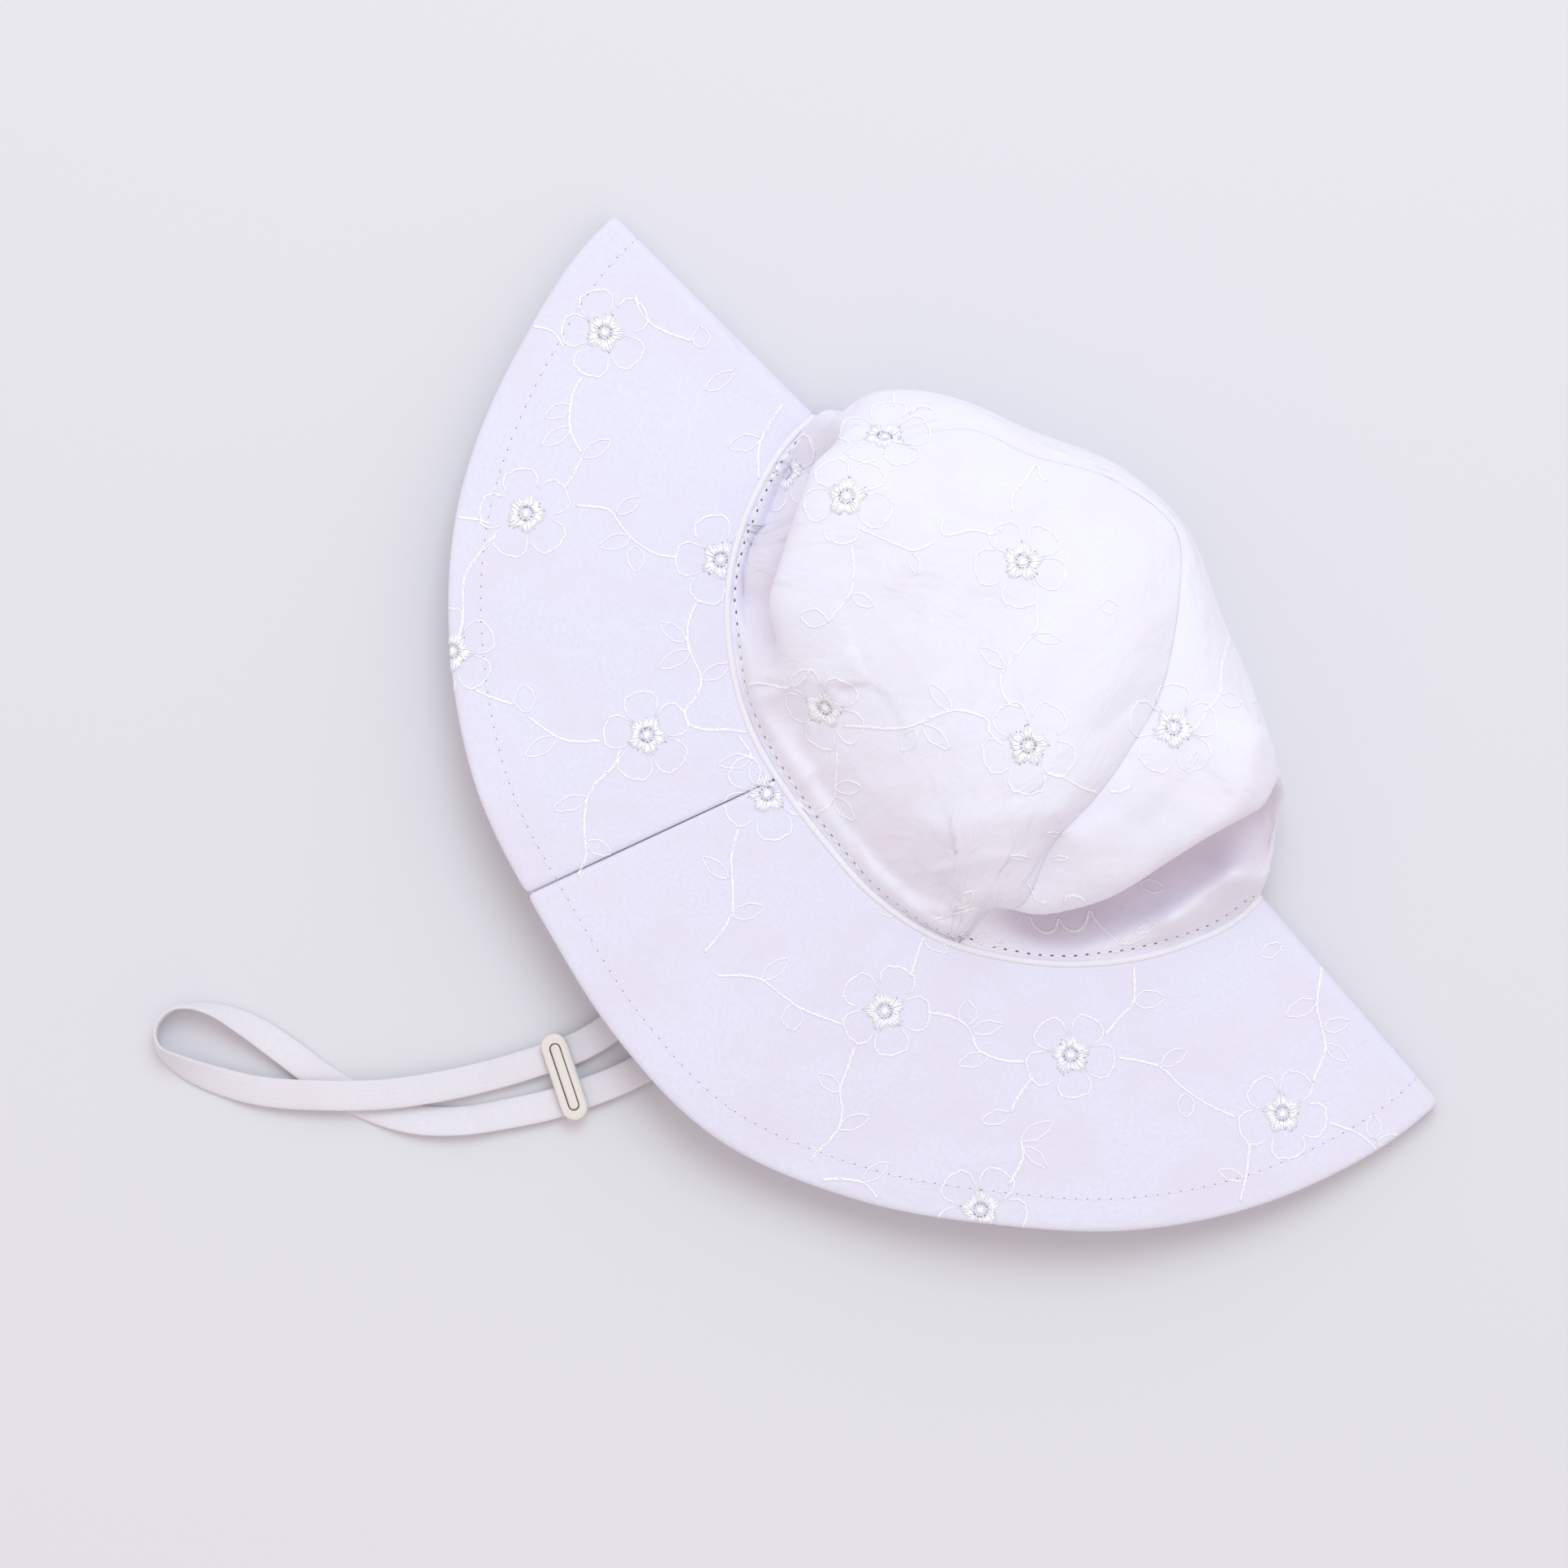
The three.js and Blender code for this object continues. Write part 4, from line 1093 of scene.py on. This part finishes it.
# %% Chart of the leaves
# Base, tip and width in photo pixels
LEAVES = {
    "brim": [
        (718, 563, 753, 542, 18), (760, 633, 790, 612, 16), (777, 663, 738, 673, 18),
        (782, 672, 785, 705, 21), (865, 429, 863, 402, 22), (869, 481, 905, 457, 17),
        (936, 541, 897, 551, 20), (703, 527, 668, 549, 17), (703, 500, 672, 514, 17),
        (845, 790, 813, 767, 17), (850, 802, 812, 823, 18), (865, 837, 900, 818, 17),
        (648, 878, 645, 843, 26), (685, 908, 647, 932, 19), (723, 983, 681, 997, 17),
        (723, 1037, 753, 1052, 17), (925, 935, 885, 942, 17), (930, 937, 930, 967, 14),
        (897, 1082, 865, 1055, 16), (902, 1128, 942, 1117, 19), (938, 1207, 973, 1180, 16),
        (975, 1269, 978, 1236, 25), (1137, 1154, 1168, 1173, 15), (1083, 1121, 1112, 1127, 10),
        (1035, 1344, 1008, 1323, 17), (1033, 1390, 1072, 1375, 17), (1192, 1263, 1192, 1232, 22),
        (1198, 1270, 1235, 1262, 17), (1218, 1300, 1180, 1312, 17), (1245, 1372, 1209, 1382, 17),
        (1258, 1405, 1298, 1382, 18), (1262, 1413, 1290, 1438, 15), (1063, 1455, 1095, 1432, 16),
        (1397, 1233, 1436, 1229, 22), (1430, 1313, 1463, 1292, 17), (1460, 1347, 1462, 1377, 20),
        (1532, 1453, 1500, 1442, 13), (1697, 1407, 1733, 1405, 17), (1693, 1403, 1692, 1373, 18),
        (1622, 1233, 1584, 1251, 20), (1630, 1267, 1663, 1258, 17), (1633, 1287, 1662, 1307, 15),
        (1553, 1178, 1580, 1163, 16),
    ],
    "crown": [
        (1123, 681, 1131, 708, 12), (987, 758, 1020, 765, 22), (1050, 733, 1077, 747, 14),
        (1238, 822, 1207, 797, 16), (1275, 783, 1307, 790, 13), (1172, 875, 1145, 842, 15),
        (1137, 893, 1170, 923, 17), (1127, 898, 1113, 926, 17), (1357, 747, 1377, 747, 18),
        (1505, 857, 1529, 868, 17), (1289, 1027, 1313, 1027, 5), (1244, 1055, 1269, 1057, 5),
        (1296, 1057, 1317, 1057, 5), (1461, 947, 1477, 924, 7), (1379, 1162, 1416, 1148, 10),
        (1405, 1088, 1436, 1096, 15), (1179, 1118, 1199, 1098, 15), (1203, 1155, 1234, 1162, 14),
        (1028, 982, 1053, 1010, 16), (1030, 970, 1062, 970, 17), (1075, 1128, 1050, 1112, 9),
        (1545, 865, 1560, 845, 9), (1400, 1150, 1425, 1137, 9),
    ],
}
charted = [sum(map(len, chart.values())) for chart in (STEMS, LEAVES)]
print(len(FLOWERS), "flowers,", charted[0], "stems,", charted[1], "leaves")


# %% Lines of sight onto the cloth
def surface_tree(objects):
    """One search tree over the finished outside of several pieces"""
    graph = bpy.context.evaluated_depsgraph_get()
    joined = bmesh.new()
    for obj in objects:
        mesh = obj.evaluated_get(graph).to_mesh()
        joined.from_mesh(mesh)
        obj.evaluated_get(graph).to_mesh_clear()
    tree = BVHTree.FromBMesh(joined)
    joined.free()
    return tree


surfaces = {"brim": surface_tree(brims), "crown": surface_tree(crown_pieces)}
everything = surface_tree(brims + crown_pieces + [piping])
THREAD_LIFT = 0.12 * MM
# Another piece that is nearer to the camera by more than this hides the cloth
HIDDEN_BEHIND = 0.3 * MM


def lifted(place, normal):
    """A thread's middle, a little above its place on the cloth, and the cloth's normal"""
    return np.array(place) + np.array(normal) * THREAD_LIFT, np.array(normal)


def seen_from_camera(px, py, cloth):
    """Where a photo pixel lands on the cloth, or nothing where another piece hides it"""
    aim_point = photo_to_plan(px, py) + Vector((0, 0, CAMERA_PLANE))
    ray = (aim_point - camera.location).normalized()
    place, normal, _, distance = surfaces[cloth].ray_cast(camera.location, ray)
    if place is None:
        return None
    _, _, _, nearest = everything.ray_cast(camera.location, ray)
    if nearest is not None and nearest < distance - HIDDEN_BEHIND:
        return None
    return place, -normal if normal.dot(ray) > 0 else normal


def smooth_line(points, spacing):
    """A smooth curve through charted places, with even steps"""
    points = np.array(points, float)
    if len(points) < 3:
        points = np.array([points[0], (points[0] + points[-1]) / 2, points[-1]])
    rows = smooth_route(points, 200)
    run = run_along(rows)
    return read_columns(np.linspace(0, run[-1], max(3, int(run[-1] / spacing) + 1)), run, rows)


# %% Threads as tubes
# A thread's section is a little flat, and its thickness and path waver as real stitches do
FLATNESS, SWAY, END_SHARE = 0.75, 0.42, 0.55
DOT_HEIGHT, DOT_SINK, DOT_SIDES = 0.04 * MM, 0.02 * MM, 6


class ThreadPile:
    """Many small tubes and dots collected as arrays and made into one mesh"""

    def __init__(self, seed):
        self.places, self.faces, self.uvs, self.count = [], [], [], 0
        self.luck = np.random.default_rng(seed)

    def add(self, places, faces, uvs):
        self.places.append(places)
        self.faces += [tuple(self.count + i for i in face) for face in faces]
        self.uvs += uvs
        self.count += len(places)

    def tube(self, places, normals, radius, sides=6):
        places, normals = np.array(places, float), np.array(normals, float)
        side = unit(np.cross(unit(np.gradient(places, axis=0)), normals))
        size = radius * self.luck.uniform(0.8, 1.15, len(places))
        sway = self.luck.normal(0, SWAY, len(places)) * radius
        places = places + side * sway[:, None]
        size[[0, -1]] *= END_SHARE
        run = run_along(places)
        angles = math.tau * np.arange(sides) / sides
        ring = side[:, None] * np.cos(angles)[None, :, None]
        ring = ring + normals[:, None] * np.sin(angles)[None, :, None] * FLATNESS
        verts = places[:, None] + ring * size[:, None, None]
        around = [j / sides * 3 * radius for j in range(sides + 1)]
        faces, uvs = [], []
        for i, j in np.ndindex(len(places) - 1, sides):
            a, b = i * sides + j, i * sides + (j + 1) % sides
            faces.append((a, b, b + sides, a + sides))
            uvs.append(((run[i], around[j]), (run[i], around[j + 1]),
                        (run[i + 1], around[j + 1]), (run[i + 1], around[j])))
        last = (len(places) - 1) * sides
        faces += [range(sides)[::-1], range(last, last + sides)]
        uvs += [((0, 0),) * sides, ((run[-1], 0),) * sides]
        self.add(verts.reshape(-1, 3), faces, uvs)

    def dot(self, place, normal, radius, stretch=None):
        """A needle hole's painted shade: a small low dark fan on the cloth, longer along the
        stretch
        """
        normal = Vector(normal)
        across = stretch.normalized() if stretch else normal.orthogonal().normalized()
        along = normal.cross(across).normalized()
        if stretch:
            across = across * stretch.length
        place, normal = np.array(place), np.array(normal)
        verts = [place + normal * DOT_HEIGHT]
        for j in range(DOT_SIDES):
            angle = math.tau * j / DOT_SIDES
            rim = across * math.cos(angle) + along * math.sin(angle)
            verts.append(place + np.array(rim) * radius - normal * DOT_SINK)
        faces = [(0, 1 + j, 1 + (j + 1) % DOT_SIDES) for j in range(DOT_SIDES)]
        self.add(np.array(verts), faces, [((0, 0), (radius, 0), (radius, radius))] * DOT_SIDES)

    def build(self, name, material, slot):
        mesh = bpy.data.meshes.new(name)
        mesh.from_pydata(np.concatenate(self.places).tolist(), [], self.faces)
        layer = mesh.uv_layers.new(name="thread")
        layer.data.foreach_set("uv", np.concatenate([np.array(uv).ravel() for uv in self.uvs]))
        mesh.validate()
        bm = bmesh.new()
        bm.from_mesh(mesh)
        bmesh.ops.recalc_face_normals(bm, faces=bm.faces)
        bpy.data.meshes.remove(mesh)
        obj = finish_mesh(bm, name, material)
        print(f"{name}: {sum(len(p.vertices) - 2 for p in obj.data.polygons)} triangles")


threads = {"brim": ThreadPile(1), "crown": ThreadPile(2)}
holes = {"brim": ThreadPile(3), "crown": ThreadPile(4)}


def sew(hits, cloth, radius, longest_step, sides=6):
    """Sew through places on the cloth, and start afresh after a hidden place or a long step"""
    places, normals = [], []

    def knot_off():
        if len(places) > 1:
            threads[cloth].tube(places, normals, radius, sides)
        places.clear()
        normals.clear()

    for hit in hits:
        if hit is None:
            knot_off()
            continue
        if places and np.linalg.norm(hit[0] - places[-1]) > longest_step:
            knot_off()
        places.append(hit[0])
        normals.append(hit[1])
    knot_off()


# Photo pixels between two looks along a charted line, and the longest step of one thread
LOOK_EVERY, SEEN_STEP = 2.4, 3 * MM


def sew_seen_line(line, cloth, radius):
    """Sew a charted line, broken wherever another piece hides it or the cloth ends"""
    seen = (seen_from_camera(px, py, cloth) for px, py in smooth_line(line, LOOK_EVERY))
    sew((hit and lifted(*hit) for hit in seen), cloth, radius, SEEN_STEP)


# %% Stems
STEM_RADIUS = 0.2 * MM
for cloth, lines in STEMS.items():
    for line in lines:
        for aside in (-0.6, 0.6):
            sew_seen_line([(px + aside, py + aside) for px, py in line], cloth, STEM_RADIUS)


# %% Leaves
# A leaf is a pointed oval outline
def leaf_outline(base_x, base_y, tip_x, tip_y, width):
    base, tip = np.array([base_x, base_y], float), np.array([tip_x, tip_y], float)
    along = tip - base
    side = np.array([-along[1], along[0]]) / np.linalg.norm(along)
    share = np.linspace(0, 1, 15)
    swell = np.sin(math.pi * share**0.9) ** 0.8 * width / 2
    wobble = 1 + 0.05 * np.sin(share * 17 + base_x)
    middle, out = base + share[:, None] * along, side * (swell * wobble)[:, None]
    return middle + out, (middle - out)[::-1]


LEAF_RADIUS = 0.19 * MM
for cloth, leaves in LEAVES.items():
    for leaf in leaves:
        for side_line in leaf_outline(*leaf):
            sew_seen_line(side_line, cloth, LEAF_RADIUS)

# %% [markdown]
# ## Flowers
# Each flower has five petals drawn in one raised outline, a blunt star of dense satin
# stitches, and in its middle a small eyelet: a ring of needle holes round a white boss. The
# flower is laid out flat on the cloth's own tangent plane and then pressed onto it, so it bends
# with the crown instead of being printed through it.


# %% The flower's own plane
def press_onto(point, normal, cloth, reach=4 * MM):
    """Press a point of a flat flower onto the cloth, or nothing past the cloth's edge"""
    place, hit_normal, _, _ = surfaces[cloth].ray_cast(point + normal * reach, -normal, 2 * reach)
    if place is None or hit_normal.dot(normal) < 0.15:
        return None
    if everything.ray_cast(place + normal * HIDDEN_BEHIND, normal, 1.2 * MM)[0] is not None:
        return None
    return lifted(place, hit_normal)


class Flower:
    """A flat plane on the cloth's mean slope about a charted place"""

    def __init__(self, px, py, cloth):
        self.cloth = cloth
        hit = seen_from_camera(px, py, cloth)
        if hit is None:
            spot = photo_to_plan(px, py)
            near = surfaces[cloth].find_nearest(spot + Vector((0, 0, 20 * MM)))[0]
            hit = (Vector((spot.x, spot.y, near.z)), Vector((0, 0, 1)))
        self.centre, total = hit[0], hit[1].copy()
        for k in range(8):
            angle = math.tau * k / 8
            other = seen_from_camera(px + 30 * math.cos(angle), py + 30 * math.sin(angle), cloth)
            if other:
                total += other[1]
        self.normal = total.normalized()
        right = photo_direction(1, 0)
        self.right = (right - self.normal * right.dot(self.normal)).normalized()
        self.up = self.normal.cross(self.right)

    def on_cloth(self, u, v):
        point = self.centre + self.right * float(u) + self.up * float(v)
        return press_onto(point, self.normal, self.cloth)

    def sew(self, flat_points, radius, sides=6):
        sew((self.on_cloth(u, v) for u, v in flat_points), self.cloth, radius, 2 * MM, sides)

    def mark_hole(self, reach, angle, radius):
        hit = self.on_cloth(reach * math.cos(angle), reach * math.sin(angle))
        if hit is not None:
            holes[self.cloth].dot(*hit, radius)


# %% One flower
PETAL_REACH, PETAL_NOTCH, STAR_REACH = 10.7 * MM, 4.9 * MM, 4.9 * MM
EYELET_RADIUS, BOSS_RADIUS = 1.72 * MM, 1.1 * MM
PETAL_THREAD, SATIN_THREAD = 0.17 * MM, 0.22 * MM
PETALS, SATIN_STITCHES, EYELET_HOLES, BOSS_STITCHES = 5, 60, 13, 9
# The share of satin stitches with a needle hole at their outer end
HOLE_SHARE = 0.16


def petal_outline(axis, luck):
    """From one notch round a wavy, rounded tip to the next notch"""
    sweep = (np.linspace(0, 1, 42) - 0.5) * 2
    bulge = np.sqrt(np.clip(1 - np.abs(sweep) ** 2.6, 0, 1))
    scallop = 1 + 0.06 * np.abs(np.cos(sweep * 2.5 * math.pi + luck.uniform(-0.4, 0.4)))
    reach = PETAL_NOTCH + (PETAL_REACH * luck.uniform(0.95, 1.04) - PETAL_NOTCH) * bulge * scallop
    half = math.radians(33) * np.sign(sweep) * np.abs(sweep) ** 0.62
    angle = axis + half * mix(1.0, 0.94, bulge)
    return np.stack([reach * np.cos(angle), reach * np.sin(angle)], -1)


def sew_petals(flower, turn, luck):
    for k in range(PETALS):
        axis = math.radians(turn + 72 * k + luck.uniform(-3, 3))
        outline = petal_outline(axis, luck)
        for side in (-1, 1):
            wave = np.cos(np.arange(len(outline)) * 2.2 + luck.random())
            zigzag = side * PETAL_THREAD * (0.45 + 0.55 * wave)
            flower.sew(outline + unit(outline) * zigzag[:, None], PETAL_THREAD)


def sew_spoke(flower, angle, reaches):
    """A straight satin stitch that points away from the flower's middle"""
    line = [(reach * math.cos(angle), reach * math.sin(angle)) for reach in reaches]
    flower.sew(line, SATIN_THREAD, sides=5)


def sew_middle(flower, turn, luck):
    """The blunt star of satin stitches, the eyelet's ring of holes and the boss in it"""
    for k in range(SATIN_STITCHES):
        angle = math.tau * (k + luck.uniform(-0.25, 0.25)) / SATIN_STITCHES
        from_point = math.cos(2.5 * (angle - math.radians(turn + 36)))
        reach = STAR_REACH * (0.70 + 0.30 * abs(from_point)) * luck.uniform(0.93, 1.05)
        inner = EYELET_RADIUS * 1.12
        sew_spoke(flower, angle, [mix(inner, reach, share) for share in np.linspace(0, 1, 4)])
        if luck.random() < HOLE_SHARE:
            past = reach + luck.uniform(0.0, 0.3) * MM
            flower.mark_hole(past, angle, luck.uniform(0.10, 0.20) * MM)
    for k in range(EYELET_HOLES):
        angle = math.tau * (k + luck.uniform(-0.2, 0.2)) / EYELET_HOLES
        from_middle = EYELET_RADIUS * luck.uniform(0.88, 1.0)
        flower.mark_hole(from_middle, angle, luck.uniform(0.12, 0.30) * MM)
    for k in range(BOSS_STITCHES):
        angle = math.pi * k / BOSS_STITCHES + luck.uniform(-0.15, 0.15)
        half = BOSS_RADIUS * luck.uniform(0.75, 1.1)
        sew_spoke(flower, angle, [share * half for share in np.linspace(-1, 1, 5)])


luck = random.Random(11)
for px, py, turn, cloth in FLOWERS:
    flower = Flower(px, py, cloth)
    sew_petals(flower, turn, luck)
    sew_middle(flower, turn, luck)

# %% [markdown]
# ## Topstitching
# A row of small stitches holds the crown seam down beside the piping, and a fainter row holds
# the brim's hem about 8 mm inside its edge. Each stitch is a short thread that dips at both
# ends, with a needle hole between stitches, made dark with painted shade.


# %% Stitch rows
stitch_holes = ThreadPile(5)
STITCHED_ROUNDS = 3.0
STITCH_PITCH = 2.9 * MM
# Where a stitch is between two holes, and how far above the cloth it runs there
STITCH_RISE = [(0.16, 0.02 * MM), (0.39, 0.16 * MM), (0.61, 0.16 * MM), (0.84, 0.02 * MM)]
HOLE_STRETCH, HOLE_LIFT = 1.8, 0.02 * MM
LOOK_FROM = Vector((0, 0, 2 * MM))
SEAM_ROW = 1.9 * MM
HEM_WIDTH = 8.2 * MM


def sew_stitch_row(offset, cloth, wall, radius, hole):
    """Stitches beside a line round the hat's visible side"""
    fine = np.linspace(0, STITCHED_ROUNDS, 4000)
    line = hat_round(fine, offset(fine), wall) + SHIFT
    run = run_along(line)

    def on_cloth(at, height):
        point = Vector(read_columns(at, run, line))
        place, normal, _, _ = surfaces[cloth].find_nearest(point + LOOK_FROM)
        return np.array(place) + np.array(normal) * height, np.array(normal)

    for k in range(int(run[-1] / STITCH_PITCH)):
        ends = [on_cloth((k + share) * STITCH_PITCH, height) for share, height in STITCH_RISE]
        threads[cloth].tube(*zip(*ends), radius, sides=5)
        ahead = Vector(ends[-1][0] - ends[0][0]).normalized() * HOLE_STRETCH
        stitch_holes.dot(*on_cloth(k * STITCH_PITCH, HOLE_LIFT), hole, stretch=ahead)


sew_stitch_row(lambda r: 0 * r - SEAM_ROW, "crown", CLOTH_WALL, 0.19 * MM, 0.26 * MM)
sew_stitch_row(lambda r: BRIM_WIDTH * width_share(turn_of(r)) - HEM_WIDTH, "brim", BRIM_WALL,
               0.12 * MM, 0.13 * MM)

# %% Make the threads and the holes
for cloth, slot in (("brim", "brim_cloth"), ("crown", "crown_cloth")):
    threads[cloth].build(cloth + "_embroidery", embroidery_thread, slot)
    holes[cloth].build(cloth + "_needle_hole_shading", hole_shade, slot)
stitch_holes.build("stitch_row_hole_shading", stitch_shade, "crown_cloth")

# %% [markdown]
# ## Floor and light
# The hat was photographed on a pale lilac-grey surface. The daylight is soft and cool and comes
# from above the picture's upper edge, and the room fills the shadows with a warmer light.

# %% Floor
FLOOR_SIDE = 30.0
bm = bmesh.new()
bmesh.ops.create_grid(bm, x_segments=1, y_segments=1, size=FLOOR_SIDE / 2)
floor = new_object("floor", bm)
floor_paper, _, floor_shader = new_material("floor_paper", (0.735, 0.72, 0.755), 0.9)
floor_shader.inputs["Specular IOR Level"].default_value = 0.1
floor.data.materials.append(floor_paper)

# %% Daylight
WINDOW_COLOUR, WINDOW_SIZE, WINDOW_POWER = (0.68, 0.90, 1.0), 1.3, 17
ROOM_COLOUR, ROOM_STRENGTH = (1.0, 0.925, 0.915, 1), 0.87
aim = Vector((centre.x, centre.y, 0))
light = bpy.data.lights.new("window", "AREA")
light.shape, light.size = "DISK", WINDOW_SIZE
light.energy, light.color = WINDOW_POWER, WINDOW_COLOUR
window = bpy.data.objects.new("window", light)
bpy.context.collection.objects.link(window)
window.location = aim + photo_direction(0.22, 1.1) + Vector((0, 0, 1.7))
window.rotation_euler = (aim - window.location).to_track_quat("-Z", "Y").to_euler()
world = bpy.data.worlds.new("daylight")
world.use_nodes = True
room = world.node_tree.nodes["Background"].inputs
room["Color"].default_value, room["Strength"].default_value = ROOM_COLOUR, ROOM_STRENGTH
bpy.context.scene.world = world
bpy.context.scene.view_settings.view_transform = "Standard"
